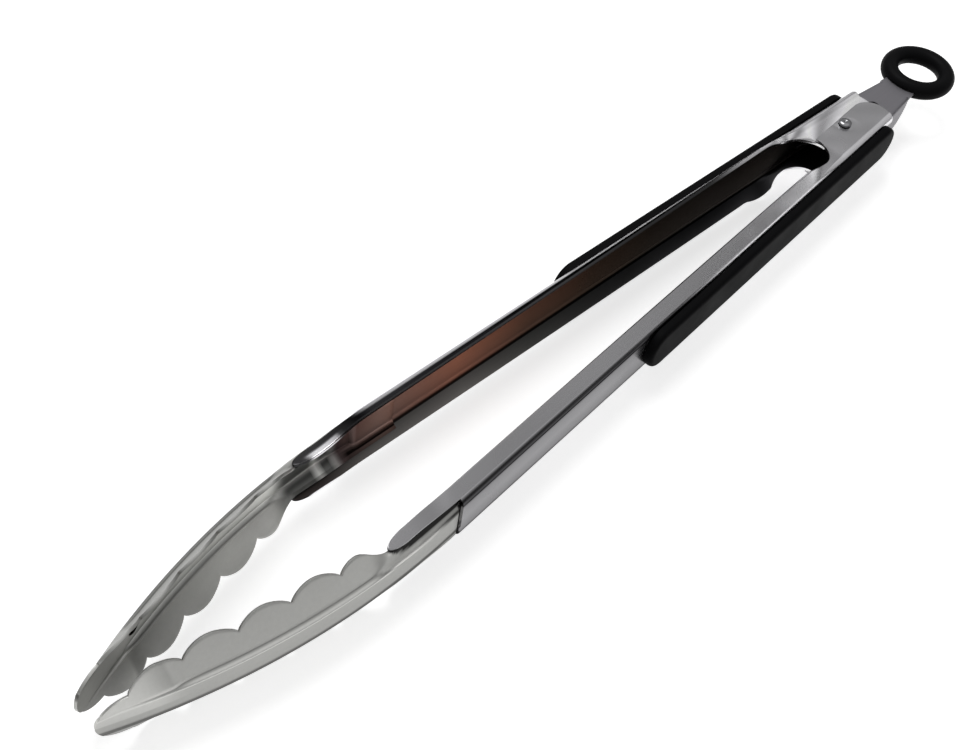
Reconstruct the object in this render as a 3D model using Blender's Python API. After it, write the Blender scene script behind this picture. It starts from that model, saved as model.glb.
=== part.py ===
"""Locking kitchen tongs, lying on their side as they do on a table.

Two stamped steel arms are nested at one end on a rivet. Each arm is a shallow channel with flared
sides, a scalloped head welded into its far end and a soft black grip on its back. A folded lock
tab slides between the tails of the arms: pulled out by its ring it holds the arms nearly closed,
pushed in it lets a torsion spring open them.

Units are metres. +X runs from the ring to the heads, +Y towards the outer arm, and +Z is the axis
of the rivet. Everything is modelled about the rivet and then set down on the table.
"""
import math

import bmesh
import bpy
from mathutils import Vector

# Sheets and the space left between pieces that touch
ARM_SHEET = 0.0009
HEAD_SHEET = 0.0009
TAB_SHEET = 0.0010
FIT_GAP = 0.0003

# Arms: each is half open by this angle to the middle line
ARM_ANGLE = math.radians(3.0)
ARM_BACK = 0.0106
ARM_HALF_WIDTH = 0.0077
ARM_BEND_RADIUS = 0.0032
EAR_BEND_RADIUS = 0.0020
ARM_WALL_END = 0.2220
ARM_TAIL = 0.0175
FLANGE_LENGTH = 0.0062
FLARE_AT_HINGE = math.radians(57.0)
FLARE_AT_ELBOW = math.radians(31.0)
FLANGE_SHARES = (1.0, 0.55, 0.10, 0.0)
WALL_SHARES = (0.0, 0.25, 0.5, 0.75, 1.0)
ARM_FINISH = ((0.62, 0.61, 0.62), 0.22, 1.0)

# Ears: the flat, unflared ends of the flanges that the rivet passes through
EAR_EDGE = 0.0029
EAR_END = 0.0150
EAR_TAIL_ROUND = 0.0051
EAR_TAIL_BULGE = 0.0016
FLARE_START = 0.0390
LIP_LENGTH = 0.0130
OUTER_BITE_TURN = math.radians(90.0)
INNER_BITE_TURN = math.radians(120.0)
INNER_BITE_SHALLOWER = 0.0008
EAR_ROUND_SHARE = 0.5
EAR_STATION_SHARES = (0.0, 0.3, 0.65, 1.0)
LIP_SHARES = (0.35, 0.7)

# Tongues: the flanges run on past the back wall and hold the head between them
TONGUE_REACH = 0.0260
TONGUE_ROUND = 0.0070
TONGUE_PINCH = math.radians(12.0)
TONGUE_WIDER = 0.0005
TONGUE_SHARES = (0.33, 0.66, 1.0)
TONGUE_END_SHARES = (0.35, 0.65, 0.85, 0.95, 0.995)

# Heads
HEAD_NECK = 0.0140
HEAD_NECK_WING = 0.0012
HEAD_STEP = 0.0030
HEAD_STRAIGHT = 0.0070
HEAD_LENGTH = 0.1105
HEAD_BOW_RADIUS = 0.2360
HEAD_FLARE_LEAD = 0.0020
HEAD_FLARE_RUN = 0.0110
HEAD_TILT = math.radians(32.0)
HEAD_TIP_TILT = math.radians(14.0)
HEAD_HALF_WIDTH = 0.0108
SCALLOP_COUNT = 5
SCALLOP_PITCH = 0.0150
SCALLOP_DEPTH = 0.0030
RIB_HALF_WIDTH = 0.0042
RIB_DEPTH = 0.0009
RIB_SIDE = 0.0010
RIB_TIP_MARGIN = 0.0200
RIB_ROUND = 0.0080
HEAD_HOLE_RADIUS = 0.0018
HEAD_HOLE_MARGIN = 0.0040
RIB_EDGE_SHARE = 0.6
RIB_NECK_SHARE = 0.9
RIB_BOWL_SHARE = 0.8
RIB_MIDDLE_SHARE = 0.4
FIRST_SCALLOP_SHARE = 0.6
SCALLOP_FULLNESS = 0.75
HEAD_SWELL_FULLNESS = 0.5
SCALLOP_SHARES = (0.0, 0.08, 0.22, 0.5, 0.78, 0.92)
TIP_SHARES = (0.0, 0.25, 0.5, 0.7, 0.85, 0.94, 0.98)
HEAD_FINISH = ((0.66, 0.66, 0.65), 0.38, 1.0)

# Grips
GRIP_LENGTH = 0.1520
GRIP_TAIL_MARGIN = 0.0012
GRIP_THICKNESS = 0.0032
GRIP_EDGE_ROUND = 0.0016
GRIP_INSET = 0.0005
GRIP_END_SHARE = 0.35
GRIP_CROWN_FLAT_SHARE = 0.4
GRIP_CROWN_SHARES = ((1.0, 0.0), (0.3, 0.45), (0.06, 1.5))
GRIP_ROUND_SHARES = (0.02, 0.08, 0.2, 0.4, 0.65, 1.0)
GRIP_FINISH = ((0.012, 0.012, 0.013), 0.55, 0.0)

# Hinge
RIVET_SHANK_RADIUS = 0.0013
RIVET_HEAD_RADIUS = 0.0024
RIVET_HEAD_HEIGHT = 0.0011
RIVET_DIMPLE = 0.0004
RIVET_RIM_SHARES = ((0.94, 0.55), (0.74, 0.9))
RIVET_CROWN_SHARE = 0.55
RIVET_DIMPLE_SHARE = 0.3
RIVET_FINISH = ((0.6, 0.6, 0.6), 0.18, 1.0)
BUSH_RADIUS = 0.0021
BUSH_FINISH = ((0.55, 0.55, 0.54), 0.35, 1.0)
SPRING_WIRE = 0.0009
SPRING_TURNS = 4
SPRING_LEG_ANGLE = math.radians(35.0)
SPRING_LEG_FOOT = 0.0040
SPRING_LEG_SHARES = (0.5, 0.93)
SPRING_FOOT_SHARE = 0.12
SPRING_FINISH = ((0.5, 0.5, 0.5), 0.3, 1.0)

# Lock tab and ring
TAB_SLOT_LAND = 0.0026
TAB_SLOT_SLACK = 0.0018
TAB_NECK_HALF_WIDTH = 0.0062
TAB_ROOT = 0.0183
TAB_LENGTH = 0.0190
TAB_RING_ENTRY = 0.0032
TAB_SLOT_OUTER = 0.0225
TAB_BEND_RADIUS = 0.0012
TAB_SIDE_START = 0.0120
TAB_SIDE_END = 0.0345
TAB_SIDE_ROUND = 0.0080
TAB_BEND_SHARE = 0.3
TAB_MIDDLE_SHARE = 0.4
TAB_ROUND_SHARES = (0.3, 0.55, 0.75, 0.9, 0.99)
TAB_FINISH = ((0.42, 0.41, 0.43), 0.45, 1.0)
RING_RADIUS = 0.0108
RING_TUBE_RADIUS = 0.0033
RING_FINISH = ((0.010, 0.010, 0.011), 0.42, 0.0)

# Fineness of the round forms
BEND_STEPS = 4
BITE_STEPS = 7
ROUND_STEPS = 20
COIL_POINTS = 10
ROUTE_STEPS = 4
RING_STEPS = 40
RING_TUBE_STEPS = 12
SMOOTH_ANGLE = math.radians(40.0)
TOOL_FINISH = ((0.5, 0.5, 0.5), 0.5, 0.0)


def clear_scene():
    for thing in list(bpy.data.objects):
        bpy.data.objects.remove(thing, do_unlink=True)


def ease(value):
    value = min(max(value, 0.0), 1.0)
    return value * value * (3.0 - 2.0 * value)


def mix(low, high, share):
    return low + (high - low) * share


def round_share(distance, length):
    """Height of a quarter round at a distance along its length, from 1 down to nearly 0."""
    along = min(max(distance / length, 0.0), 1.0)
    return math.sqrt(max(1.0 - along * along, 0.0))


def make_material(name, colour, roughness, metallic):
    material = bpy.data.materials.new(name)
    material.use_nodes = True
    shader = material.node_tree.nodes["Principled BSDF"]
    shader.inputs["Base Color"].default_value = (*colour, 1.0)
    shader.inputs["Roughness"].default_value = roughness
    shader.inputs["Metallic"].default_value = metallic
    return material


def make_empty(name, parent=None, turn=0.0):
    empty = bpy.data.objects.new(name, None)
    bpy.context.collection.objects.link(empty)
    empty.parent = parent
    empty.rotation_euler = (0.0, 0.0, turn)
    return empty


def finish_mesh(name, mesh_data, parent, finish):
    """Turn a bmesh into a named object with its own material, smooth except at real edges."""
    bmesh.ops.recalc_face_normals(mesh_data, faces=mesh_data.faces)
    mesh = bpy.data.meshes.new(name)
    mesh_data.to_mesh(mesh)
    mesh_data.free()
    mesh.shade_smooth()
    mesh.set_sharp_from_angle(angle=SMOOTH_ANGLE)
    thing = bpy.data.objects.new(name, mesh)
    bpy.context.collection.objects.link(thing)
    thing.parent = parent
    thing.data.materials.append(make_material(name + "_finish", *finish))
    return thing


def mirror_y(points):
    return [[Vector((point.x, -point.y, point.z)) for point in row] for row in points]


def sheet_mesh(outer, inner, keep):
    """Close the space between two grids of points where keep(row, column) holds a cell."""
    mesh_data = bmesh.new()
    skins = []
    for grid in (outer, inner):
        skins.append([[mesh_data.verts.new(point) for point in row] for row in grid])
    rows = len(outer) - 1
    columns = len(outer[0]) - 1
    kept = {(row, column) for row in range(rows) for column in range(columns) if keep(row, column)}
    for row, column in kept:
        for skin in skins:
            corners = (skin[row][column], skin[row + 1][column],
                       skin[row + 1][column + 1], skin[row][column + 1])
            mesh_data.faces.new(corners)
        sides = (((row - 1, column), (row, column), (row, column + 1)),
                 ((row + 1, column), (row + 1, column), (row + 1, column + 1)),
                 ((row, column - 1), (row, column), (row + 1, column)),
                 ((row, column + 1), (row, column + 1), (row + 1, column + 1)))
        for neighbour, start, end in sides:
            if neighbour not in kept:
                mesh_data.faces.new((skins[0][start[0]][start[1]], skins[0][end[0]][end[1]],
                                     skins[1][end[0]][end[1]], skins[1][start[0]][start[1]]))
    loose = [vertex for vertex in mesh_data.verts if not vertex.link_faces]
    bmesh.ops.delete(mesh_data, geom=loose, context="VERTS")
    return mesh_data


def offset_line(points, distance):
    """Move a line of (y, z) points sideways by a distance, mitred at its corners."""
    moved = []
    for index, point in enumerate(points):
        normals = []
        for first, second in ((index - 1, index), (index, index + 1)):
            if first < 0 or second >= len(points):
                continue
            along = Vector(points[second]) - Vector(points[first])
            normals.append(Vector((along.y, -along.x)).normalized())
        normal = sum(normals, Vector((0.0, 0.0))).normalized()
        stretch = 1.0 / max(normal.dot(normals[0]), 0.5)
        moved.append(tuple(Vector(point) + normal * distance * stretch))
    return moved


def prism(name, outline, low, high, parent):
    """A straight block with an outline of (x, y) points between two heights."""
    mesh_data = bmesh.new()
    floor = [mesh_data.verts.new((x, y, low)) for x, y in outline]
    face = mesh_data.faces.new(floor)
    swept = bmesh.ops.extrude_face_region(mesh_data, geom=[face])
    risen = [item for item in swept["geom"] if isinstance(item, bmesh.types.BMVert)]
    bmesh.ops.translate(mesh_data, vec=(0.0, 0.0, high - low), verts=risen)
    return finish_mesh(name, mesh_data, parent, TOOL_FINISH)


def cutter(thing, target):
    """Cut one object out of another and leave the tool as a wire guide."""
    thing.hide_render = True
    thing.display_type = "WIRE"
    cut = target.modifiers.new("cut_" + thing.name, "BOOLEAN")
    cut.operation = "DIFFERENCE"
    cut.solver = "EXACT"
    cut.object = thing


def slot_outline(centre, length, width):
    """An oblong with round ends, lying along X."""
    reach = (length - width) / 2.0
    outline = []
    for side, start in ((1.0, -math.pi / 2.0), (-1.0, math.pi / 2.0)):
        for step in range(ROUND_STEPS // 2 + 1):
            angle = start + math.pi * step / (ROUND_STEPS // 2)
            outline.append((centre + side * reach + width / 2.0 * math.cos(angle),
                            width / 2.0 * math.sin(angle)))
    return outline


def turned(name, profile, parent, finish, closed=True):
    """Turn a closed profile of (radius, z) points about Z."""
    mesh_data = bmesh.new()
    rings = []
    for step in range(ROUND_STEPS):
        angle = 2.0 * math.pi * step / ROUND_STEPS
        ring = []
        for radius, height in profile:
            if radius == 0.0:
                ring.append(None)
                continue
            ring.append(mesh_data.verts.new((radius * math.cos(angle), radius * math.sin(angle), height)))
        rings.append(ring)
    poles = {index: mesh_data.verts.new((0.0, 0.0, height))
             for index, (radius, height) in enumerate(profile) if radius == 0.0}
    spans = len(profile) if closed else len(profile) - 1
    for step in range(ROUND_STEPS):
        here = rings[step]
        there = rings[(step + 1) % ROUND_STEPS]
        for index in range(spans):
            after = (index + 1) % len(profile)
            corners = []
            for ring, place in ((here, index), (there, index), (there, after), (here, after)):
                corner = ring[place] or poles[place]
                if corner not in corners:
                    corners.append(corner)
            if len(corners) > 2:
                mesh_data.faces.new(corners)
    return finish_mesh(name, mesh_data, parent, finish)


# Arm: the channel's section at any distance from the rivet

def flare_at(along):
    """Angle of the flanges, 0 where they stand square on the wall."""
    if along < FLARE_START:
        return FLARE_AT_HINGE * ease((along - EAR_END) / (FLARE_START - EAR_END))
    if along < ARM_WALL_END:
        return mix(FLARE_AT_HINGE, FLARE_AT_ELBOW, (along - FLARE_START) / (ARM_WALL_END - FLARE_START))
    pinch = ease((along - ARM_WALL_END) / (TONGUE_REACH - TONGUE_ROUND))
    return mix(FLARE_AT_ELBOW, TONGUE_PINCH, pinch)


def bend_radius_at(along):
    """The bend beside the wall is tight at the ears and opens with the flare."""
    return mix(EAR_BEND_RADIUS, ARM_BEND_RADIUS, ease((along - EAR_END) / (FLARE_START - EAR_END)))


def joggle_at(along):
    """How far the inner arm's ears are set inwards, so that they fit between the other pair."""
    return (ARM_SHEET + FIT_GAP) * (1.0 - ease((along - EAR_END) / (FLARE_START - EAR_END)))


def flange_length_at(along):
    if along < ARM_WALL_END:
        return FLANGE_LENGTH
    return FLANGE_LENGTH + TONGUE_WIDER * ease((along - ARM_WALL_END) / (TONGUE_REACH - TONGUE_ROUND))


def arm_section(along, nested, length):
    """Points (y, z) of the outer face from the near free edge over the back to the far free edge."""
    flare = flare_at(along)
    radius = bend_radius_at(along)
    run = radius * math.tan((math.pi / 2.0 - flare) / 2.0)
    corner = Vector((ARM_BACK, ARM_HALF_WIDTH))
    out = Vector((-math.cos(flare), math.sin(flare)))
    near = [corner + out * mix(run, length, share) for share in FLANGE_SHARES]
    if nested:
        near = [point - Vector((0.0, joggle_at(along))) for point in near[:-1]] + near[-1:]
    centre = Vector((ARM_BACK - radius, ARM_HALF_WIDTH - run))
    for step in range(1, BEND_STEPS + 1):
        angle = mix(math.pi / 2.0 - flare, 0.0, step / BEND_STEPS)
        near.append(centre + radius * Vector((math.cos(angle), math.sin(angle))))
    far = [Vector((point.x, -point.y)) for point in reversed(near)]
    return [tuple(point) for point in near + far]


def arm_stations(nested):
    """Distance along the arm and length of the flange there, from the tail to the end of the tongue."""
    ear_length = ARM_BACK + EAR_EDGE
    stations = []
    for share in EAR_STATION_SHARES:
        stations.append((mix(-ARM_TAIL, EAR_END, share), ear_length))
    turn = INNER_BITE_TURN if nested else OUTER_BITE_TURN
    edge_at_flare = ARM_BACK - FLANGE_LENGTH * math.cos(FLARE_AT_HINGE)
    radius = edge_at_flare + EAR_EDGE
    if nested:
        radius -= INNER_BITE_SHALLOWER
    for step in range(1, BITE_STEPS + 1):
        angle = turn * step / BITE_STEPS
        along = EAR_END + radius * (1.0 - math.cos(angle))
        depth = ARM_BACK + EAR_EDGE - radius * math.sin(angle)
        stations.append((along, depth / math.cos(flare_at(along))))
    bite_end, depth_end = along, depth
    for share in LIP_SHARES:
        along = bite_end + LIP_LENGTH * share
        depth = mix(depth_end, ARM_BACK - edge_at_flare, share)
        stations.append((along, depth / math.cos(flare_at(along))))
    start = max(FLARE_START, along + FIT_GAP)
    for share in WALL_SHARES:
        stations.append((mix(start, ARM_WALL_END, share), FLANGE_LENGTH))
    straight = TONGUE_REACH - TONGUE_ROUND
    for share in TONGUE_SHARES:
        along = ARM_WALL_END + straight * share
        stations.append((along, flange_length_at(along)))
    for share in TONGUE_END_SHARES:
        along = ARM_WALL_END + straight + TONGUE_ROUND * share
        stations.append((along, flange_length_at(along)))
    return stations


def tail_shift(along, height_on_ear):
    """How far the tail is set back or bulges at a place across the ear, so that its end is round."""
    fade = 1.0 - ease((along + ARM_TAIL) / (ARM_TAIL + EAR_END))
    ear_length = ARM_BACK + EAR_EDGE
    share = min(max(height_on_ear / ear_length, 0.0), 1.0)
    bulge = EAR_TAIL_BULGE * math.sin(math.pi * share)
    corner = 1.0 - round_share(max(share - EAR_ROUND_SHARE, 0.0), 1.0 - EAR_ROUND_SHARE)
    return fade * (EAR_TAIL_ROUND * corner - bulge)


def arm_grids(nested):
    outer = []
    inner = []
    tongue_root = ARM_WALL_END + TONGUE_REACH - TONGUE_ROUND
    flange_points = len(FLANGE_SHARES)
    for along, length in arm_stations(nested):
        face = arm_section(along, nested, length)
        if along > tongue_root:
            narrow = round_share(along - tongue_root, TONGUE_ROUND)
            for side in (range(flange_points), range(len(face) - flange_points, len(face))):
                ends = [Vector(face[side[0]]), Vector(face[side[-1]])]
                middle = (ends[0] + ends[1]) / 2.0
                for index in side:
                    face[index] = tuple(middle + (Vector(face[index]) - middle) * narrow)
        back = offset_line(face, ARM_SHEET)
        for grid, line in ((outer, face), (inner, back)):
            grid.append([Vector((along + tail_shift(along, ARM_BACK - y), y, z)) for y, z in line])
    return outer, inner


def make_arm(name, nested, parent):
    outer, inner = arm_grids(nested)
    if nested:
        outer, inner = mirror_y(outer), mirror_y(inner)
    stations = arm_stations(nested)
    flange_cells = len(FLANGE_SHARES) - 1
    columns = len(outer[0]) - 1

    def keep(row, column):
        on_flange = column < flange_cells or column >= columns - flange_cells
        return on_flange or stations[row][0] < ARM_WALL_END

    arm = finish_mesh(name, sheet_mesh(outer, inner, keep), parent, ARM_FINISH)
    hole = [(point[0], point[1]) for point in circle(RIVET_SHANK_RADIUS + FIT_GAP)]
    drill = prism(name + "_drill", hole, -ARM_BACK, ARM_BACK, parent)
    cutter(drill, arm)
    return arm


def circle(radius):
    return [(radius * math.cos(2.0 * math.pi * step / ROUND_STEPS),
             radius * math.sin(2.0 * math.pi * step / ROUND_STEPS)) for step in range(ROUND_STEPS)]


# Head: a bowed scoop with a pressed rib along its back and scalloped wings

def head_back_at(along):
    """Height of the head's back: inside the wall, then flush with it, then bowed inwards."""
    inside = ARM_BACK - ARM_SHEET - FIT_GAP
    flush = mix(inside, ARM_BACK, ease((along - ARM_WALL_END - FIT_GAP) / HEAD_STEP))
    bow = max(along - ARM_WALL_END - HEAD_STRAIGHT, 0.0)
    return flush - (HEAD_BOW_RADIUS - math.sqrt(HEAD_BOW_RADIUS ** 2 - bow ** 2))


def scallop_start():
    return ARM_WALL_END + TONGUE_REACH + FIT_GAP


def head_edge_at(along):
    """Half the width of the head at its free edge, with the scallops and the round tip."""
    tip = ARM_WALL_END + HEAD_LENGTH
    last_valley = scallop_start() + SCALLOP_COUNT * SCALLOP_PITCH
    count = (along - scallop_start()) / SCALLOP_PITCH
    swell = math.sin(math.pi * min(max(count / SCALLOP_COUNT, 0.0), 1.0)) ** HEAD_SWELL_FULLNESS
    neck_edge = ARM_HALF_WIDTH + FIT_GAP
    valley = mix(neck_edge, HEAD_HALF_WIDTH, swell)
    if along <= last_valley:
        wave = abs(math.sin(math.pi * count)) ** SCALLOP_FULLNESS if count > 0.0 else 0.0
        early = mix(FIRST_SCALLOP_SHARE, 1.0, ease(count))
        return valley + SCALLOP_DEPTH * wave * early
    return neck_edge * round_share(along - last_valley, tip - last_valley)


def rib_share_at(along):
    """1 along the rib, falling to 0 at its round end near the tip."""
    rib_end = ARM_WALL_END + HEAD_LENGTH - RIB_TIP_MARGIN
    return round_share(along - (rib_end - RIB_ROUND), RIB_ROUND) if along > rib_end - RIB_ROUND else 1.0


def head_section(along):
    """Points (y, z) of the head's outer face across one station."""
    back = head_back_at(along)
    in_bowl = ease((along - scallop_start() + HEAD_FLARE_LEAD) / HEAD_FLARE_RUN)
    tip = ARM_WALL_END + HEAD_LENGTH
    to_tip = ease((along - (tip - RIB_TIP_MARGIN)) / RIB_TIP_MARGIN)
    tilt = mix(HEAD_TILT, HEAD_TIP_TILT, to_tip)
    edge = head_edge_at(along)
    rib = rib_share_at(along)
    half_rib = min(RIB_HALF_WIDTH, edge * RIB_EDGE_SHARE)
    rib_depth = RIB_DEPTH * rib * in_bowl
    shoulder = (back - rib_depth - RIB_SIDE * math.tan(tilt) * in_bowl, half_rib + RIB_SIDE * in_bowl)
    bowl_edge = (shoulder[0] - (edge - shoulder[1]) * math.tan(tilt), edge)
    bowl_middle = ((shoulder[0] + bowl_edge[0]) / 2.0, (shoulder[1] + bowl_edge[1]) / 2.0)

    flare = flare_at(min(along, ARM_WALL_END + TONGUE_REACH))
    depth = ARM_SHEET + FIT_GAP
    drawn = depth * (1.0 - math.sin(flare)) / math.cos(flare)
    inside = ARM_BACK - depth
    bend = ARM_BEND_RADIUS * math.tan((math.pi / 2.0 - flare) / 2.0)
    wing = bend + HEAD_NECK_WING
    corner = (inside, ARM_HALF_WIDTH - drawn)
    neck_middle = (corner[0] - bend * math.cos(flare), corner[1] + bend * math.sin(flare))
    neck_edge = (corner[0] - wing * math.cos(flare), corner[1] + wing * math.sin(flare))
    neck_shoulder = (back, corner[1] - bend)

    def blend(neck, bowl):
        return (mix(neck[0], bowl[0], in_bowl), mix(neck[1], bowl[1], in_bowl))

    def halfway(first, second):
        return ((first[0] + second[0]) / 2.0, (first[1] + second[1]) / 2.0)

    near = [blend(neck_edge, bowl_edge),
            blend(halfway(neck_edge, neck_middle), halfway(bowl_edge, bowl_middle)),
            blend(neck_middle, bowl_middle),
            blend(neck_shoulder, shoulder),
            (back, half_rib * mix(RIB_NECK_SHARE, RIB_BOWL_SHARE, in_bowl)),
            (back, half_rib * RIB_MIDDLE_SHARE)]
    far = [(y, -z) for y, z in reversed(near)]
    return near + far


def head_stations():
    start = ARM_WALL_END - HEAD_NECK
    stations = [start, ARM_WALL_END - HEAD_NECK / 2.0, ARM_WALL_END, ARM_WALL_END + HEAD_STEP / 2.0,
                ARM_WALL_END + HEAD_STEP, ARM_WALL_END + TONGUE_REACH / 2.0,
                ARM_WALL_END + TONGUE_REACH - FIT_GAP]
    valley = scallop_start()
    for scallop in range(SCALLOP_COUNT):
        for share in SCALLOP_SHARES:
            stations.append(valley + SCALLOP_PITCH * (scallop + share))
    last_valley = valley + SCALLOP_COUNT * SCALLOP_PITCH
    tip_run = ARM_WALL_END + HEAD_LENGTH - last_valley
    for share in TIP_SHARES:
        stations.append(last_valley + tip_run * share)
    return stations


def everywhere(row, column):
    return True


def make_head(name, mirrored, parent):
    outer = []
    inner = []
    for along in head_stations():
        face = head_section(along)
        back = offset_line(face, HEAD_SHEET)
        outer.append([Vector((along, y, z)) for y, z in face])
        inner.append([Vector((along, y, z)) for y, z in back])
    if mirrored:
        outer, inner = mirror_y(outer), mirror_y(inner)
    head = finish_mesh(name, sheet_mesh(outer, inner, everywhere), parent, HEAD_FINISH)
    if mirrored:
        hole_at = ARM_WALL_END + HEAD_LENGTH - RIB_TIP_MARGIN - HEAD_HOLE_MARGIN
        tool = prism(name + "_punch", circle(HEAD_HOLE_RADIUS), -HEAD_HALF_WIDTH, HEAD_HALF_WIDTH, parent)
        tool.rotation_euler = (math.pi / 2.0, 0.0, 0.0)
        tool.location = (hole_at, -head_back_at(hole_at), 0.0)
        cutter(tool, head)
    return head


# Grip: a soft pad with a domed back and round ends, bonded to the wall

def grip_section(share, mirrored):
    """A closed loop of points across the grip, where share is 1 at full size and 0 at an end."""
    half = (ARM_HALF_WIDTH - GRIP_INSET) * share
    low = ARM_BACK + FIT_GAP
    high = low + GRIP_THICKNESS * mix(GRIP_END_SHARE, 1.0, share)
    crown = GRIP_EDGE_ROUND * share
    shape = [(low, half)]
    shape += [(high - crown * down, half - crown * inwards) for down, inwards in GRIP_CROWN_SHARES]
    shape.append((high, half * GRIP_CROWN_FLAT_SHARE))
    loop = shape + [(y, -z) for y, z in reversed(shape)]
    side = -1.0 if mirrored else 1.0
    return [(y * side, z) for y, z in loop]


def make_grip(name, mirrored, parent):
    start = GRIP_TAIL_MARGIN - ARM_TAIL
    end = start + GRIP_LENGTH
    round_run = ARM_HALF_WIDTH
    stations = []
    for share in GRIP_ROUND_SHARES:
        stations.append((start + round_run * share, round_share(1.0 - share, 1.0)))
    stations.append((mix(start, end, 0.5), 1.0))
    for share in reversed(GRIP_ROUND_SHARES):
        stations.append((end - round_run * share, round_share(1.0 - share, 1.0)))
    mesh_data = bmesh.new()
    rings = []
    for along, share in stations:
        loop = grip_section(share, mirrored)
        rings.append([mesh_data.verts.new((along, y, z)) for y, z in loop])
    for here, there in zip(rings, rings[1:]):
        for index in range(len(here)):
            after = (index + 1) % len(here)
            mesh_data.faces.new((here[index], there[index], there[after], here[after]))
    mesh_data.faces.new(rings[0])
    mesh_data.faces.new(rings[-1])
    return finish_mesh(name, mesh_data, parent, GRIP_FINISH)


# Hinge pieces on the rivet's axis

def make_rivet(parent):
    face = ARM_HALF_WIDTH + FIT_GAP
    top = face + RIVET_HEAD_HEIGHT
    rim = RIVET_HEAD_RADIUS
    half = [(RIVET_SHANK_RADIUS, face), (rim, face)]
    half += [(rim * out, mix(face, top, up)) for out, up in RIVET_RIM_SHARES]
    half += [(rim * RIVET_CROWN_SHARE, top), (rim * RIVET_DIMPLE_SHARE, top - RIVET_DIMPLE),
             (0.0, top - RIVET_DIMPLE)]
    profile = half[::-1] + [(radius, -height) for radius, height in half]
    return turned("pivot_rivet", profile, parent, RIVET_FINISH, closed=False)


def ear_inner_face():
    """Height of the inner faces of the inner arm's ears."""
    return ARM_HALF_WIDTH - 2.0 * ARM_SHEET - FIT_GAP


def make_bush(parent):
    half = ear_inner_face() - FIT_GAP
    bore = RIVET_SHANK_RADIUS + FIT_GAP
    profile = [(BUSH_RADIUS, half), (BUSH_RADIUS, -half), (bore, -half), (bore, half)]
    return turned("pivot_bush", profile, parent, BUSH_FINISH)


def tab_plate_face():
    return ear_inner_face() - FIT_GAP


def spring_route():
    """Leg, coil and leg of the torsion spring, as one line of points."""
    radius = BUSH_RADIUS + 2.0 * FIT_GAP + SPRING_WIRE / 2.0
    top = tab_plate_face() - TAB_SHEET - FIT_GAP - SPRING_WIRE / 2.0
    lean = SPRING_LEG_ANGLE
    wall = ARM_BACK - ARM_SHEET - FIT_GAP - SPRING_WIRE / 2.0
    rise = math.tan(ARM_ANGLE)
    start = Vector((-radius * math.sin(lean), radius * math.cos(lean), top))
    leg = (wall / math.cos(ARM_ANGLE) + start.x * rise - start.y) / (math.sin(lean) - rise * math.cos(lean))
    tip = start + leg * Vector((math.cos(lean), math.sin(lean), 0.0))
    foot = tip + SPRING_LEG_FOOT * Vector((math.cos(ARM_ANGLE), math.sin(ARM_ANGLE), 0.0))
    last = [start] + [mix(start, tip, share) for share in SPRING_LEG_SHARES]
    last += [mix(tip, foot, SPRING_FOOT_SHARE), foot]
    first = [Vector((point.x, -point.y, -point.z)) for point in reversed(last)]
    begin_angle = -math.pi / 2.0 - lean
    sweep = -(2.0 * math.pi * SPRING_TURNS + math.pi - 2.0 * lean)
    steps = round(COIL_POINTS * abs(sweep) / (2.0 * math.pi))
    coil = []
    for step in range(1, steps):
        share = step / steps
        angle = begin_angle + sweep * share
        coil.append(Vector((radius * math.cos(angle), radius * math.sin(angle), mix(-top, top, share))))
    return first + coil + last


def least_gap(route, wire):
    """Smallest clear distance of the wire to itself, away from each point's own neighbours."""
    dense = []
    for here, there in zip(route, route[1:]):
        for step in range(ROUTE_STEPS):
            dense.append(here.lerp(there, step / ROUTE_STEPS))
    travelled = [0.0]
    for here, there in zip(dense, dense[1:]):
        travelled.append(travelled[-1] + (there - here).length)
    least = None
    for first in range(len(dense)):
        for second in range(first + 1, len(dense)):
            if travelled[second] - travelled[first] < math.pi * BUSH_RADIUS:
                continue
            gap = (dense[first] - dense[second]).length - wire
            least = gap if least is None else min(least, gap)
    return least


def make_spring(parent):
    route = spring_route()
    print("torsion_spring least gap to itself, mm:", round(least_gap(route, SPRING_WIRE) * 1000.0, 3))
    curve = bpy.data.curves.new("torsion_spring", "CURVE")
    curve.dimensions = "3D"
    curve.bevel_depth = SPRING_WIRE / 2.0
    curve.bevel_resolution = 1
    curve.use_fill_caps = True
    spline = curve.splines.new("POLY")
    spline.points.add(len(route) - 1)
    for point, place in zip(spline.points, route):
        point.co = (*place, 1.0)
    spring = bpy.data.objects.new("torsion_spring", curve)
    bpy.context.collection.objects.link(spring)
    spring.parent = parent
    curve.materials.append(make_material("torsion_spring_finish", *SPRING_FINISH))
    return spring


# Lock tab, folded from one strip, and the moulded ring on its fold

def tab_outer_end():
    return TAB_ROOT + TAB_LENGTH + TAB_RING_ENTRY


def tab_shoulder():
    """Half the tab's full width, which holds the tails of the arms apart."""
    tail_face = (ARM_BACK - ARM_SHEET) * math.cos(ARM_ANGLE) - ARM_TAIL * math.sin(ARM_ANGLE)
    return tail_face - FIT_GAP


def tab_half_width_at(along):
    """The wedge: full width between the arms, narrower towards the ring."""
    return mix(tab_shoulder(), TAB_NECK_HALF_WIDTH, min(max((along - TAB_ROOT) / TAB_LENGTH, 0.0), 1.0))


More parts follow.
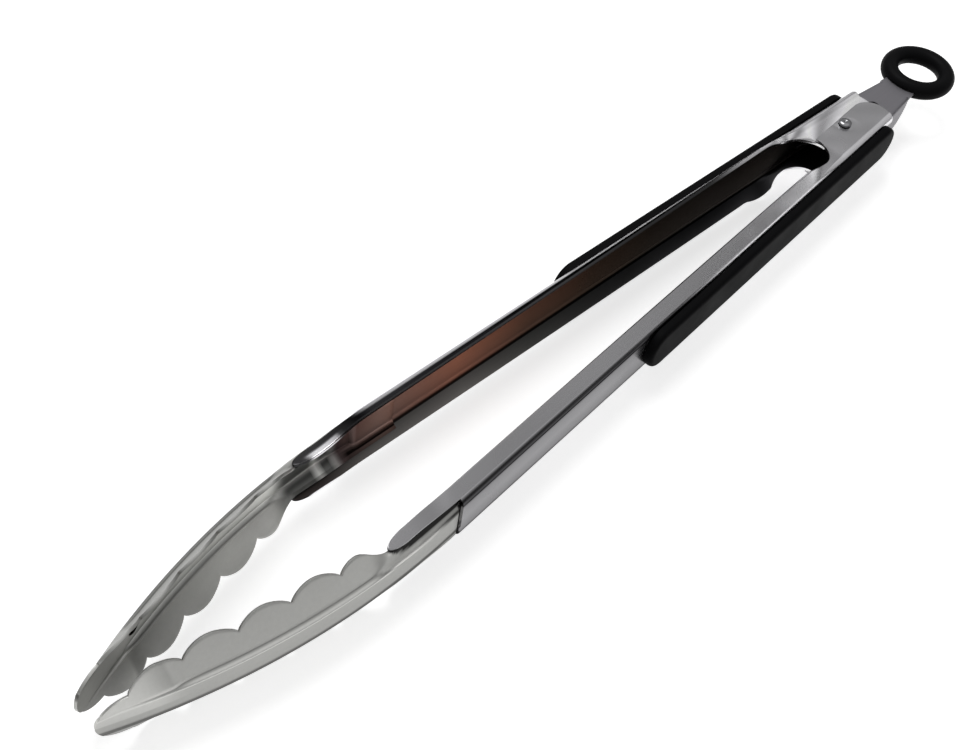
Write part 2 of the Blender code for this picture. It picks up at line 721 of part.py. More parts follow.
def tab_section(along, sides):
    """Points (y, z) of the outer face across the tab at a distance outwards from the rivet."""
    half = tab_half_width_at(along)
    top = tab_plate_face()
    height = 2.0 * top - TAB_BEND_RADIUS
    height *= round_share(along - (TAB_SIDE_END - TAB_SIDE_ROUND), TAB_SIDE_ROUND) if along > 0.0 else 1.0
    low = top - TAB_BEND_RADIUS - height
    edge = half - TAB_BEND_RADIUS if sides else half
    near = [(half, low), (half, (low + top - TAB_BEND_RADIUS) / 2.0), (half, top - TAB_BEND_RADIUS)]
    near.append((half - TAB_BEND_RADIUS * TAB_BEND_SHARE, top - TAB_BEND_RADIUS * TAB_BEND_SHARE))
    near += [(edge, top), (edge * TAB_MIDDLE_SHARE, top)]
    return near + [(-y, z) for y, z in reversed(near)]


def make_tab(parent):
    slot_inner = BUSH_RADIUS + FIT_GAP + TAB_SLOT_SLACK
    reach = slot_inner + TAB_SLOT_LAND
    side_run = TAB_SIDE_END - TAB_SIDE_ROUND
    stations = [-reach, -slot_inner, 0.0, TAB_SIDE_START - FIT_GAP, TAB_SIDE_START, TAB_ROOT, side_run]
    for share in TAB_ROUND_SHARES:
        stations.append(side_run + TAB_SIDE_ROUND * share)
    stations += [TAB_SIDE_END + FIT_GAP, TAB_ROOT + TAB_LENGTH, tab_outer_end()]
    outer = []
    inner = []
    for along in stations:
        sides = TAB_SIDE_START <= along < TAB_SIDE_END
        face = tab_section(along, sides)
        back = offset_line(face, -TAB_SHEET)
        outer.append([Vector((-along, y, z)) for y, z in face])
        inner.append([Vector((-along, y, z)) for y, z in back])
    side_cells = 4
    columns = len(outer[0]) - 1

    def keep(row, column):
        on_side = column < side_cells or column >= columns - side_cells
        return not on_side or TAB_SIDE_START <= stations[row] and stations[row + 1] < TAB_SIDE_END

    tab = finish_mesh("lock_tab", sheet_mesh(outer, inner, keep), parent, TAB_FINISH)
    slot_length = TAB_SLOT_OUTER + slot_inner
    slot_centre = (slot_inner - TAB_SLOT_OUTER) / 2.0
    slot = prism("lock_tab_slot", slot_outline(slot_centre, slot_length, 2.0 * (BUSH_RADIUS + FIT_GAP)),
                 0.0, ARM_BACK, parent)
    cutter(slot, tab)
    return tab


def ring_centre():
    return TAB_ROOT + TAB_LENGTH + RING_RADIUS + RING_TUBE_RADIUS - FIT_GAP


def make_ring(parent):
    level = tab_plate_face() - TAB_SHEET / 2.0
    mesh_data = bmesh.new()
    rings = []
    for step in range(RING_STEPS):
        angle = 2.0 * math.pi * step / RING_STEPS
        ring = []
        for part in range(RING_TUBE_STEPS):
            turn = 2.0 * math.pi * part / RING_TUBE_STEPS
            reach = RING_RADIUS + RING_TUBE_RADIUS * math.cos(turn)
            place = (reach * math.cos(angle) - ring_centre(), reach * math.sin(angle),
                     level + RING_TUBE_RADIUS * math.sin(turn))
            ring.append(mesh_data.verts.new(place))
        rings.append(ring)
    for step in range(RING_STEPS):
        here = rings[step]
        there = rings[(step + 1) % RING_STEPS]
        for part in range(RING_TUBE_STEPS):
            after = (part + 1) % RING_TUBE_STEPS
            mesh_data.faces.new((here[part], there[part], there[after], here[after]))
    ring = finish_mesh("pull_ring", mesh_data, parent, RING_FINISH)
    entry = tab_outer_end() + FIT_GAP
    half = TAB_NECK_HALF_WIDTH + FIT_GAP
    mouth = -TAB_ROOT
    pocket = [(mouth, half), (-entry, half), (-entry, -half), (mouth, -half)]
    thick = TAB_SHEET / 2.0 + FIT_GAP
    tool = prism("pull_ring_pocket", pocket, level - thick, level + thick, parent)
    cutter(tool, ring)
    return ring


def set_down(frame, pieces):
    """Stand the model with its lowest point on the table and its middle over the origin."""
    bpy.context.view_layer.update()
    graph = bpy.context.evaluated_depsgraph_get()
    places = []
    for piece in pieces:
        shape = piece.evaluated_get(graph)
        mesh = shape.to_mesh()
        places += [shape.matrix_world @ vertex.co for vertex in mesh.vertices]
        shape.to_mesh_clear()
    left = min(place.x for place in places)
    right = max(place.x for place in places)
    frame.location = (-(left + right) / 2.0, 0.0, -min(place.z for place in places))
    print("length over all, mm:", round((right - left) * 1000.0, 2))
    print("rivet at, m:", tuple(round(value, 6) for value in frame.location))


def build():
    clear_scene()
    frame = make_empty("rivet_axis")
    outer_side = make_empty("outer_side", frame, ARM_ANGLE)
    inner_side = make_empty("inner_side", frame, -ARM_ANGLE)
    pieces = [make_arm("outer_arm", False, outer_side), make_arm("inner_arm", True, inner_side),
              make_head("outer_head", False, outer_side), make_head("inner_head", True, inner_side),
              make_grip("outer_grip", False, outer_side), make_grip("inner_grip", True, inner_side),
              make_rivet(frame), make_bush(frame), make_spring(frame),
              make_tab(frame), make_ring(frame)]
    set_down(frame, pieces)


build()
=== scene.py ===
import math

import bpy
from mathutils import Matrix, Vector


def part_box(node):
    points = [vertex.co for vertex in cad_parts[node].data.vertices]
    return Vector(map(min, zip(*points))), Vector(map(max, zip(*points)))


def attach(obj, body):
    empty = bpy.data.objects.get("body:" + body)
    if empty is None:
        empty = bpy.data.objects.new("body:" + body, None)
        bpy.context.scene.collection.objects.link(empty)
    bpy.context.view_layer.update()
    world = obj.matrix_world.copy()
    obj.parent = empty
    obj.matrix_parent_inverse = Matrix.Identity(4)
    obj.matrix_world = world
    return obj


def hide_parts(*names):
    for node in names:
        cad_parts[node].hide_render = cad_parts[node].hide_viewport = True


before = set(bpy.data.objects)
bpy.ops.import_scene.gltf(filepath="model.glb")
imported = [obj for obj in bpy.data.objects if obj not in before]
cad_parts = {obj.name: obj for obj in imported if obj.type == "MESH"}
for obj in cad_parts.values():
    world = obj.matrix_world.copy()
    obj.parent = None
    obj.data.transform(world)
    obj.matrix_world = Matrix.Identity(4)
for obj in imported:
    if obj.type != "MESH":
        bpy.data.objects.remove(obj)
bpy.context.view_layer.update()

# Outer arm: one strip of 0.9 mm stainless sheet, pressed into a shallow channel with flared sides.
# Flat ears at the tail take the rivet, a round bite behind them lets the channel open out, and
# past the elbow the back is cut away and the two sides run on as tongues that hold the head.
rivet_low, rivet_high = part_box("pivot_rivet")
pivot = (rivet_low + rivet_high) / 2.0
half_opening = math.radians(3.0)
sheet = 0.0009
fit_gap = 0.0003
arm_back = 0.0106
arm_half_width = 0.0077
bend_radius = 0.0032
ear_bend = 0.0020
wall_end = 0.2220
strip_end = 0.2480
tail_reach = 0.0175
side_length = 0.0062
flare_by_hinge = math.radians(57.0)
flare_by_elbow = math.radians(31.0)
ear_edge = 0.0029
ear_end = 0.0150
tail_round = 0.0051
tail_bulge = 0.0016
flare_start = 0.0390
lip_length = 0.0130
tongue_reach = 0.0260
tongue_round = 0.0070
tongue_pinch = math.radians(12.0)
tongue_wider = 0.0005
rivet_hole = 0.0016
# Cells across and rows along the grid that an arm is pressed from
side_cells = 20
bend_cells = 8
wall_cells = 12
arm_cells = 2 * (side_cells + bend_cells) + wall_cells
ear_rows = 64
bite_rows = 30
lip_rows = 10
side_rows = 60
tongue_rows = 12
tongue_end_rows = 10
tiny = 1e-6


def ease(share):
    """Rises smoothly from 0 to 1 as share does."""
    share = min(max(share, 0.0), 1.0)
    return share * share * (3.0 - 2.0 * share)


def mix(low, high, share):
    """The value that lies a share of the way from low to high."""
    return low + (high - low) * share


def round_share(along, length):
    """Falls from 1 to 0 over a length, as a quarter of a circle does."""
    share = min(max(along / length, 0.0), 1.0)
    return math.sqrt(max(1.0 - share * share, 0.0))


def flare_at(along):
    """How far the sides lean outwards: upright at the ears, flat by the hinge, steeper to the end."""
    if along < flare_start:
        return flare_by_hinge * ease((along - ear_end) / (flare_start - ear_end))
    if along < wall_end:
        return mix(flare_by_hinge, flare_by_elbow, (along - flare_start) / (wall_end - flare_start))
    return mix(flare_by_elbow, tongue_pinch, ease((along - wall_end) / (tongue_reach - tongue_round)))


def arm_stations(bite_turn, bite_shallower):
    """Distance from the rivet and length of the side there, along the whole strip."""
    ear_length = arm_back + ear_edge
    stations = [(mix(-tail_reach, ear_end, row / ear_rows), ear_length) for row in range(ear_rows + 1)]
    edge_of_side = arm_back - side_length * math.cos(flare_by_hinge)
    radius = edge_of_side + ear_edge - bite_shallower
    for row in range(1, bite_rows + 1):
        angle = bite_turn * row / bite_rows
        along = ear_end + radius * (1.0 - math.cos(angle))
        depth = ear_length - radius * math.sin(angle)
        stations.append((along, depth / math.cos(flare_at(along))))
    bite_end = along
    bite_depth = depth
    for row in range(1, lip_rows + 1):
        along = bite_end + lip_length * row / lip_rows
        depth = mix(bite_depth, arm_back - edge_of_side, ease(row / lip_rows))
        stations.append((along, depth / math.cos(flare_at(along))))
    lip_end = along
    for row in range(1, side_rows + 1):
        stations.append((mix(lip_end, wall_end, row / side_rows), side_length))
    straight = tongue_reach - tongue_round
    for row in range(1, tongue_rows + 1):
        run = straight * row / tongue_rows
        stations.append((wall_end + run, side_length + tongue_wider * ease(run / straight)))
    for row in range(1, tongue_end_rows + 1):
        run = straight + tongue_round * row / tongue_end_rows
        stations.append((wall_end + run, side_length + tongue_wider))
    return stations


def bend_at(along):
    """The bend beside the back is tight at the ears and opens with the flare."""
    return mix(ear_bend, bend_radius, ease((along - ear_end) / (flare_start - ear_end)))


def side_joggle(along):
    """How far the inner arm's ears are pressed inwards, so that they fit between the other pair."""
    return (sheet + fit_gap) * (1.0 - ease((along - ear_end) / (flare_start - ear_end)))


dish_depth = 0.00012
dish_radius = 0.0034
dish_width = 0.0010
wave_height = 0.00004
wave_along = 0.0021
wave_across = 0.0034
waves_start = 0.0045
waves_fade_in = 0.003
relief_fade = 0.008


def ear_relief(along, y):
    """The flat ears are dished round the rivet and a little wavy from the press."""
    away = math.hypot(along, y)
    dish = -dish_depth * math.exp(-((away - dish_radius) / dish_width) ** 2)
    wave = wave_height * math.sin(along / wave_along + y / wave_across)
    wave *= ease((away - waves_start) / waves_fade_in)
    return (dish + wave) * (1.0 - ease((along - ear_end) / relief_fade))


def arm_face(along, length, column, nested):
    """Place (y, z) on the outer face, from the near free edge over the back to the far one."""
    mirrored = column > arm_cells / 2
    if mirrored:
        column = arm_cells - column
    flare = flare_at(along)
    radius = bend_at(along)
    run = radius * math.tan((math.pi / 2.0 - flare) / 2.0)
    out_y, out_z = -math.cos(flare), math.sin(flare)
    if column <= side_cells:
        reach = mix(length, run, column / side_cells)
        y = arm_back + out_y * reach
        z = arm_half_width + out_z * reach
        z += ear_relief(along, y)
        if nested:
            z -= side_joggle(along) * ease(min((reach - run) / run, 1.0))
    elif column <= side_cells + bend_cells:
        turn = mix(math.pi / 2.0 - flare, 0.0, (column - side_cells) / bend_cells)
        y = arm_back - radius + radius * math.cos(turn)
        z = arm_half_width - run + radius * math.sin(turn)
    else:
        half_wall = arm_half_width - run
        y = arm_back
        z = half_wall * (1.0 - 2.0 * (column - side_cells - bend_cells) / wall_cells)
    return y, -z if mirrored else z


def round_tail(along, height):
    """Moves the strip's end so that the ears are round at their back."""
    fade = 1.0 - ease((along + tail_reach) / (tail_reach + ear_end))
    share = min(max(height / (arm_back + ear_edge), 0.0), 1.0)
    corner = tail_round * (1.0 - round_share(share - 0.5, 0.5))
    return fade * (corner - tail_bulge * math.sin(math.pi * share))


def named(name):
    """Gives the piece that was just added, and its mesh, a name."""
    piece = bpy.context.object
    piece.name = name
    piece.data.name = name
    return piece


def pick(piece):
    """Selects one piece alone and makes it the active one."""
    bpy.ops.object.select_all(action="DESELECT")
    piece.select_set(True)
    bpy.context.view_layer.objects.active = piece


def flat_blank(name, rows, columns):
    """A flat cut blank, ready for the press: a grid one unit square."""
    bpy.ops.object.select_all(action="DESELECT")
    bpy.ops.mesh.primitive_grid_add(x_subdivisions=rows, y_subdivisions=columns, size=1.0)
    return named(name)


def mark(piece, kind, wanted):
    """Goes into edit mode with only those vertices, edges or faces selected for which wanted holds."""
    bpy.ops.object.mode_set(mode="EDIT")
    bpy.ops.mesh.select_mode(type=kind)
    bpy.ops.mesh.select_all(action="DESELECT")
    bpy.ops.object.mode_set(mode="OBJECT")
    places = [corner.co for corner in piece.data.vertices]
    groups = {"VERT": piece.data.vertices, "EDGE": piece.data.edges, "FACE": piece.data.polygons}
    for item in groups[kind]:
        ends = [item.co] if kind == "VERT" else [places[index] for index in item.vertices]
        item.select = wanted(ends)
    bpy.ops.object.mode_set(mode="EDIT")


def cut_away(blank, unwanted):
    """Cuts the cells away for which unwanted(x, y) holds at their middle on the flat blank."""
    def inside(ends):
        middle = sum(ends, Vector()) / len(ends)
        return unwanted(middle.x + 0.5, middle.y + 0.5)

    mark(blank, "FACE", inside)
    bpy.ops.mesh.delete(type="FACE")
    bpy.ops.object.mode_set(mode="OBJECT")


cut_edge_radius = 0.00012
cut_edge_steps = 2
cut_edge_angle = math.radians(50.0)
drill_length = 0.04
drill_sides = 48


def thicken(piece, thickness):
    """Gives a pressed sheet its thickness inwards and takes the sharpness off its cut edges."""
    wall = piece.modifiers.new("thickness", "SOLIDIFY")
    wall.thickness = thickness
    wall.offset = -1.0
    wall.use_even_offset = True
    wall.material_offset = 1
    wall.material_offset_rim = 0
    bpy.ops.object.modifier_apply(modifier=wall.name)
    rim = piece.modifiers.new("edges", "BEVEL")
    rim.width = cut_edge_radius
    rim.segments = cut_edge_steps
    rim.limit_method = "ANGLE"
    rim.angle_limit = cut_edge_angle
    bpy.ops.object.modifier_apply(modifier=rim.name)


def cut_out(piece, tool):
    """Takes the shape of a tool out of a piece, and puts the tool away."""
    pick(piece)
    opening = piece.modifiers.new("opening", "BOOLEAN")
    opening.operation = "DIFFERENCE"
    opening.solver = "EXACT"
    opening.object = tool
    bpy.ops.object.modifier_apply(modifier=opening.name)
    bpy.data.objects.remove(tool, do_unlink=True)


def bore(piece, radius, centre, rotation=(0.0, 0.0, 0.0)):
    """Drills a round hole right through a piece."""
    bpy.ops.object.select_all(action="DESELECT")
    bpy.ops.mesh.primitive_cylinder_add(vertices=drill_sides, radius=radius, depth=drill_length,
                                        location=centre, rotation=rotation)
    cut_out(piece, bpy.context.object)


def set_in_place(piece, turn=0.0, turned_over=False):
    """Turns a piece about the rivet, moves it there and leaves its object at the origin."""
    pick(piece)
    piece.rotation_euler = (math.pi if turned_over else 0.0, 0.0, turn)
    piece.location = pivot
    bpy.ops.object.transform_apply(location=True, rotation=True, scale=True)


def smooth(piece, angle):
    """Shades a piece smooth, but for edges sharper than an angle in degrees."""
    pick(piece)
    bpy.ops.object.shade_smooth_by_angle(angle=math.radians(angle))


satin_steel = (0.50, 0.495, 0.51)
rolled_lines = (25.0, 1800.0, 1800.0)
even_grain = (900.0, 900.0, 900.0)
line_detail = 4.0
cloud_scale = 45.0
cloud_detail = 3.0
steel_relief = 0.00002
noise_low = 0.3
noise_high = 0.7


def new_finish(name):
    """A new material, its node tree and its main shader."""
    finish = bpy.data.materials.new(name)
    finish.use_nodes = True
    tree = finish.node_tree
    return finish, tree, tree.nodes["Principled BSDF"]


def noise(tree, place, scale, detail):
    """A noise pattern fixed to the piece."""
    pattern = tree.nodes.new("ShaderNodeTexNoise")
    pattern.inputs["Scale"].default_value = scale
    pattern.inputs["Detail"].default_value = detail
    tree.links.new(place, pattern.inputs["Vector"])
    return pattern.outputs["Fac"]


def spread(tree, pattern, low, high):
    """Spreads a noise pattern, most of which lies near its middle, from low to high."""
    values = tree.nodes.new("ShaderNodeMapRange")
    values.inputs["From Min"].default_value = noise_low
    values.inputs["From Max"].default_value = noise_high
    values.inputs["To Min"].default_value = low
    values.inputs["To Max"].default_value = high
    tree.links.new(pattern, values.inputs["Value"])
    return values.outputs["Result"]


def emboss(tree, shader, pattern, strength, depth):
    """Gives the surface the relief of a pattern."""
    relief = tree.nodes.new("ShaderNodeBump")
    relief.inputs["Strength"].default_value = strength
    relief.inputs["Distance"].default_value = depth
    tree.links.new(pattern, relief.inputs["Height"])
    tree.links.new(relief.outputs["Normal"], shader.inputs["Normal"])


def fill_ramp(ramp, stops):
    """Sets the stops of a colour ramp: the place of each from 0 to 1, and its colour."""
    while len(ramp.elements) < len(stops):
        ramp.elements.new(1.0)
    for element, (share, colour) in zip(ramp.elements, stops):
        element.position = share
        element.color = (*colour, 1.0)


def painted_reflection_bands(tree, place, painted_colours):
    """Painted reflection and shade along the strip: pairs of a distance from the rivet and a colour."""
    parts = tree.nodes.new("ShaderNodeSeparateXYZ")
    tree.links.new(place, parts.inputs["Vector"])
    reach = tree.nodes.new("ShaderNodeMapRange")
    reach.inputs["From Min"].default_value = pivot.x
    reach.inputs["From Max"].default_value = pivot.x + strip_end
    tree.links.new(parts.outputs["X"], reach.inputs["Value"])
    bands = tree.nodes.new("ShaderNodeValToRGB")
    fill_ramp(bands.color_ramp, [(distance / strip_end, colour) for distance, colour in painted_colours])
    tree.links.new(reach.outputs["Result"], bands.inputs["Fac"])
    return bands.outputs["Color"]


def steel(name, colour, dull, bright, streak, grain, lengthways=True, painted_colours=None, painted_shade=None):
    """Stainless steel with fine lines along the strip, or an even grain, and cloudy gloss.

    dull and bright are the roughness where it is least and most polished, and streak is how far
    the lines darken it. The last but one argument gives painted reflection and shade colours along
    the strip, and the last names painted highlight, reflection and shade values that scale it from place
    to place.
    """
    finish, tree, shader = new_finish(name)
    shader.inputs["Metallic"].default_value = 1.0
    place = tree.nodes.new("ShaderNodeTexCoord").outputs["Object"]
    stretch = tree.nodes.new("ShaderNodeMapping")
    stretch.inputs["Scale"].default_value = rolled_lines if lengthways else even_grain
    tree.links.new(place, stretch.inputs["Vector"])
    lines = noise(tree, stretch.outputs["Vector"], 1.0, line_detail)
    gloss = spread(tree, noise(tree, place, cloud_scale, cloud_detail), bright, dull)
    tree.links.new(gloss, shader.inputs["Roughness"])
    tone = spread(tree, lines, 1.0 - streak, 1.0)
    shade = tree.nodes.new("ShaderNodeVectorMath")
    shade.operation = "SCALE"
    shade.inputs[0].default_value = colour
    # Painted reflection and shade colours, when given, replace the plain colour and tint the sheen.
    if painted_colours:
        bands = painted_reflection_bands(tree, place, painted_colours)
        tree.links.new(bands, shade.inputs[0])
        tree.links.new(bands, shader.inputs["Specular Tint"])
    # Painted highlight, reflection and shade values, when named, scale the colour and tint the sheen.
    if painted_shade:
        values = tree.nodes.new("ShaderNodeAttribute")
        values.attribute_name = painted_shade
        both = tree.nodes.new("ShaderNodeMath")
        both.operation = "MULTIPLY"
        tree.links.new(tone, both.inputs[0])
        tree.links.new(values.outputs["Fac"], both.inputs[1])
        tone = both.outputs["Value"]
        if not painted_colours:
            tree.links.new(values.outputs["Fac"], shader.inputs["Specular Tint"])
    tree.links.new(tone, shade.inputs["Scale"])
    tree.links.new(shade.outputs["Vector"], shader.inputs["Base Color"])
    emboss(tree, shader, lines, grain, steel_relief)
    return finish


# Inside, the steel is painted with reflection and shade: near black by the hinge and brown towards
# the head, where it ends in the head's own colour. Each pair is a distance and its colour.
channel_painted_reflection = ((0.060, (0.058, 0.053, 0.050)),
                   (0.090, (0.052, 0.045, 0.040)),
                   (0.120, (0.072, 0.054, 0.044)),
                   (0.150, (0.140, 0.085, 0.065)),
                   (0.180, (0.330, 0.155, 0.110)),
                   (0.213, (0.220, 0.150, 0.130)),
                   (0.228, (0.070, 0.050, 0.050)),
                   (0.233, (0.56, 0.56, 0.54)))
# The sides' inside: painted reflection and shade, dark by the hinge and lighter towards the head.
side_painted_reflection = ((0.060, (0.055, 0.055, 0.058)),
                (0.120, (0.075, 0.075, 0.075)),
                (0.150, (0.110, 0.110, 0.105)),
                (0.180, (0.180, 0.172, 0.165)),
                (0.213, (0.120, 0.115, 0.110)),
                (0.240, (0.050, 0.042, 0.040)))
arm_outside = steel("arm_steel_outside", satin_steel, dull=0.30, bright=0.20, streak=0.02, grain=0.004,
                    painted_shade="outside_shade")
arm_side_inside = steel("arm_steel_side_inside", satin_steel, dull=0.50, bright=0.42, streak=0.05,
                        grain=0.02, painted_colours=side_painted_reflection, painted_shade="inside_shade")
arm_inside = steel("arm_steel_inside", satin_steel, dull=0.56, bright=0.48, streak=0.06, grain=0.05,
                   painted_colours=channel_painted_reflection, painted_shade="inside_shade")


def change(place, step):
    """Eases from one tone to another: where it starts, over what length, from and to."""
    start, run, before, after = step
    return mix(before, after, ease((place - start) / run))


# Painted highlight, reflection and shade tones on the arms. Groups of four are changes, as change() takes
# them.
ear_tones = (0.016, 0.016, 0.84, 1.25)
ear_sheen_ripple = 0.04
ear_sheen_ripple_length = 0.0031
ear_sheen_ripple_slant = 5.0
side_tones = (0.150, 0.060, 0.92, 0.70)
ear_to_side = (0.050, 0.060, 0.0, 1.0)
side_to_tongue = (wall_end, 0.010, 1.0, 0.60)
# Painted reflection on the bend: light by the hinge, a row of dark lines further on.
bend_by_hinge = 1.5
bend_tones = (1.0, 0.55, 0.16, 0.06, 0.07, 0.16, 0.15, 0.10, 0.50)
bend_darkens = (0.080, 0.040, 0.0, 1.0)
# Painted shade: the back is darker towards its edges than in its middle.
back_edge_tone = 0.62
back_middle_tone = 0.72
# Painted reflection and shade inside: light free edges, darker sides, a dark line by each bend.
inside_edge_tone = 1.4
inside_side_tone = 0.55
inside_fall = 0.6
inside_corner_tone = 0.08
inside_bend_tones = (0.04, 0.05, 0.30, 0.85, 1.0, 1.05, 1.05, 1.0, 1.0)
side_finish = 2


def outer_side_tone(along, height):
    """Painted reflection: light ears with faint painted ripples, sides darker towards the tongues."""
    wave = 1.0 + ear_sheen_ripple * math.sin(along / ear_sheen_ripple_length + ear_sheen_ripple_slant * height)
    ear = change(along, ear_tones) * wave
    side = mix(ear, change(along, side_tones), change(along, ear_to_side))
    return side * change(along, side_to_tongue)


def outer_bend_tone(along, cell):
    """Painted reflection: the bend is light by the hinge, and further on painted as dark lines."""
    return mix(bend_by_hinge, bend_tones[cell], change(along, bend_darkens))


def outside_tone(along, column, side_tone, bend_tone):
    """Painted tone outside, from the free edge of a side, height 0, over the bend to the back's middle."""
    column = min(column, arm_cells - column)
    if column < side_cells:
        return side_tone(along, column / side_cells)
    if column <= side_cells + bend_cells:
        return bend_tone(along, column - side_cells)
    to_middle = (column - side_cells - bend_cells) / (wall_cells / 2.0)
    return mix(back_edge_tone, back_middle_tone, to_middle)


def inside_tone(along, column):
    """Painted shade inside the channel: a dark line by each bend, and sides darker than the back."""
    column = min(column, arm_cells - column)
    if column < side_cells - 1:
        return mix(inside_edge_tone, inside_side_tone, (column / side_cells) ** inside_fall)
    if column < side_cells:
        return inside_corner_tone
    if column <= side_cells + bend_cells:
        return inside_bend_tones[column - side_cells]
    return 1.0


def press_arm(name, nested, bite_turn, bite_shallower, side_tone, bend_tone):
    """Presses one arm from its flat blank and drills its ears."""
    stations = arm_stations(bite_turn, bite_shallower)
    rows = len(stations) - 1
    arm = flat_blank(name, rows, arm_cells)

    def behind_the_elbow(x, y):
        on_back = side_cells <= int(y * arm_cells) < arm_cells - side_cells
        return on_back and stations[int(x * rows)][0] >= wall_end - tiny

    cut_away(arm, behind_the_elbow)
    root = wall_end + tongue_reach - tongue_round
    cells = [(round((corner.co.x + 0.5) * rows), round((corner.co.y + 0.5) * arm_cells))
             for corner in arm.data.vertices]
    for corner, (row, column) in zip(arm.data.vertices, cells):
        along, length = stations[row]
        if along > root:
            near = column <= side_cells
            across = 2.0 * (column if near else arm_cells - column) / side_cells - 1.0
            run = (along - root) / tongue_round
            along = root + tongue_round * run * math.sqrt(1.0 - across * across / 2.0)
            ends = [arm_face(along, length, place if near else arm_cells - place, nested)
                    for place in (0, side_cells)]
            share = (1.0 + across * math.sqrt(1.0 - run * run / 2.0)) / 2.0
            y = mix(ends[0][0], ends[1][0], share)
            z = mix(ends[0][1], ends[1][1], share)
        else:
            y, z = arm_face(along, length, column, nested)
        corner.co = (along + round_tail(along, arm_back - y), y, z)
    # Painted highlight, reflection and shade values for each vertex, outside and inside.
    outside = arm.data.attributes.new("outside_shade", "FLOAT", "POINT")
    inside = arm.data.attributes.new("inside_shade", "FLOAT", "POINT")
    for index, (row, column) in enumerate(cells):
        along = stations[row][0]
        outside.data[index].value = outside_tone(along, column, side_tone, bend_tone)
        inside.data[index].value = inside_tone(along, column)
    # Thickening gives the inside of the sheet the finish that comes after the one on its outside.
    for finish in (arm_outside, arm_inside, arm_outside, arm_side_inside):
        arm.data.materials.append(finish)
    for face in arm.data.polygons:
        middle = sum(cells[index][1] for index in face.vertices) / len(face.vertices)
        if min(middle, arm_cells - middle) < side_cells:
            face.material_index = side_finish
    thicken(arm, sheet)
    bore(arm, rivet_hole, (0.0, 0.0, 0.0))
    return arm


outer_bite_turn = math.radians(90.0)
sheet_smoothing = 35.0
outer_arm = press_arm("outer_arm_pressing", False, outer_bite_turn, 0.0, outer_side_tone, outer_bend_tone)
set_in_place(outer_arm, half_opening)
smooth(outer_arm, sheet_smoothing)
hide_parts("outer_arm")
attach(outer_arm, "outer")

# Inner arm: the same strip, turned over, with its ears pressed inwards so that they pass between
# the outer arm's. Its bite is a little shallower and turns further round.
inner_bite_turn = math.radians(120.0)
inner_bite_shallower = 0.0008
# Painted reflection on the inner arm: a fan of painted wrinkle highlights on the ears, dark sides with a
# light line at their root, and a painted glint by the tongue's end.
wrinkle_sheen_tone = 1.50
wrinkle_sheen_swing = 0.60
wrinkle_turns = 14.0
wrinkle_middle = 0.026
wrinkle_low = 0.004
wrinkle_rise = 0.012
ear_to_inner_side = (0.030, 0.040, 0.0, 1.0)
inner_edge_tones = (0.100, 0.050, 0.09, 0.17)
inner_root_tones = (0.100, 0.040, 1.6, 0.80)
edge_to_root = (0.50, 0.30, 0.0, 1.0)
inner_tongue_tone = 0.10
side_to_inner_tongue = (wall_end - 0.004, 0.008, 0.0, 1.0)
glint_tones = (0.30, 0.25, 1.7, 0.10)
glint_starts = (wall_end + 0.009, 0.003, 0.0, 1.0)
glint_ends = (wall_end + 0.019, 0.004, 0.0, 1.0)
inner_root_line = 0.8


def inner_side_tone(along, height):
    """Painted reflection: wrinkle highlights on the ears, dark sides, a light root line, a tongue glint.
    """
    turn = math.atan2(along - wrinkle_middle, wrinkle_rise * height + wrinkle_low)
    wrinkle_sheen = wrinkle_sheen_tone + wrinkle_sheen_swing * math.sin(wrinkle_turns * turn)
    edge, root = change(along, inner_edge_tones), change(along, inner_root_tones)
    side = mix(edge, root, change(height, edge_to_root))
    side = mix(side, inner_tongue_tone, change(along, side_to_inner_tongue))
    glint = change(along, glint_starts) - change(along, glint_ends)
    side = mix(side, change(height, glint_tones), glint)
    return mix(wrinkle_sheen, side, change(along, ear_to_inner_side))


def inner_bend_tone(along, cell):
    """Painted highlight: the inner arm's bend is light all along, a little less at the side's root."""
    return bend_by_hinge if cell > 0 else inner_root_line


inner_arm = press_arm("inner_arm_pressing", True, inner_bite_turn, inner_bite_shallower,
                      inner_side_tone, inner_bend_tone)
set_in_place(inner_arm, -half_opening, turned_over=True)
smooth(inner_arm, sheet_smoothing)
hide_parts("inner_arm")
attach(inner_arm, "inner")

# Heads: scoops stamped from the same sheet, satin from tumbling. A flat rib is pressed along the
# back, five scallops run down each wing, and the neck lies inside the channel, spot welded there.
head_neck = 0.0140
neck_wing = 0.0012
head_step = 0.0018
head_straight = 0.0070
head_length = 0.1105
bow_radius = 0.2360
bowl_lead = 0.0020
bowl_run = 0.0110
wing_tilt = math.radians(32.0)
tip_tilt = math.radians(14.0)
head_half_width = 0.0108
scallops = 5
scallop_pitch = 0.0150
scallop_depth = 0.0030
rib_half_width = 0.0042
rib_depth = 0.0009
rib_side = 0.0010
rib_tip_margin = 0.0200
rib_round = 0.0080
rib_edge_share = 0.6
neck_rib_share = 0.9
bowl_rib_share = 0.98
swell_power = 0.5
scallop_power = 0.75
first_scallop_share = 0.6
# Cells across and rows along the grid that a head is pressed from
wing_cells = 10
rib_side_cells = 12
rib_cells = 16
half_head_cells = wing_cells + rib_side_cells
head_cells = 2 * half_head_cells + rib_cells
neck_rows = 8
step_rows = 8
root_rows = 10
lead_rows = 4
scallop_rows = 18
tip_rows = 14
tip_end = wall_end + head_length
first_valley = wall_end + tongue_reach + fit_gap
last_valley = first_valley + scallops * scallop_pitch
rib_end = tip_end - rib_tip_margin


def head_back(along):
    """Height y of the rib: inside the channel at the neck, flush past the wall, then bowed inwards."""
    inside = arm_back - sheet - fit_gap
    flush = mix(inside, arm_back, ease((along - wall_end - fit_gap) / head_step))
    bow = max(along - wall_end - head_straight, 0.0)
    return flush - (bow_radius - math.sqrt(bow_radius ** 2 - bow ** 2))


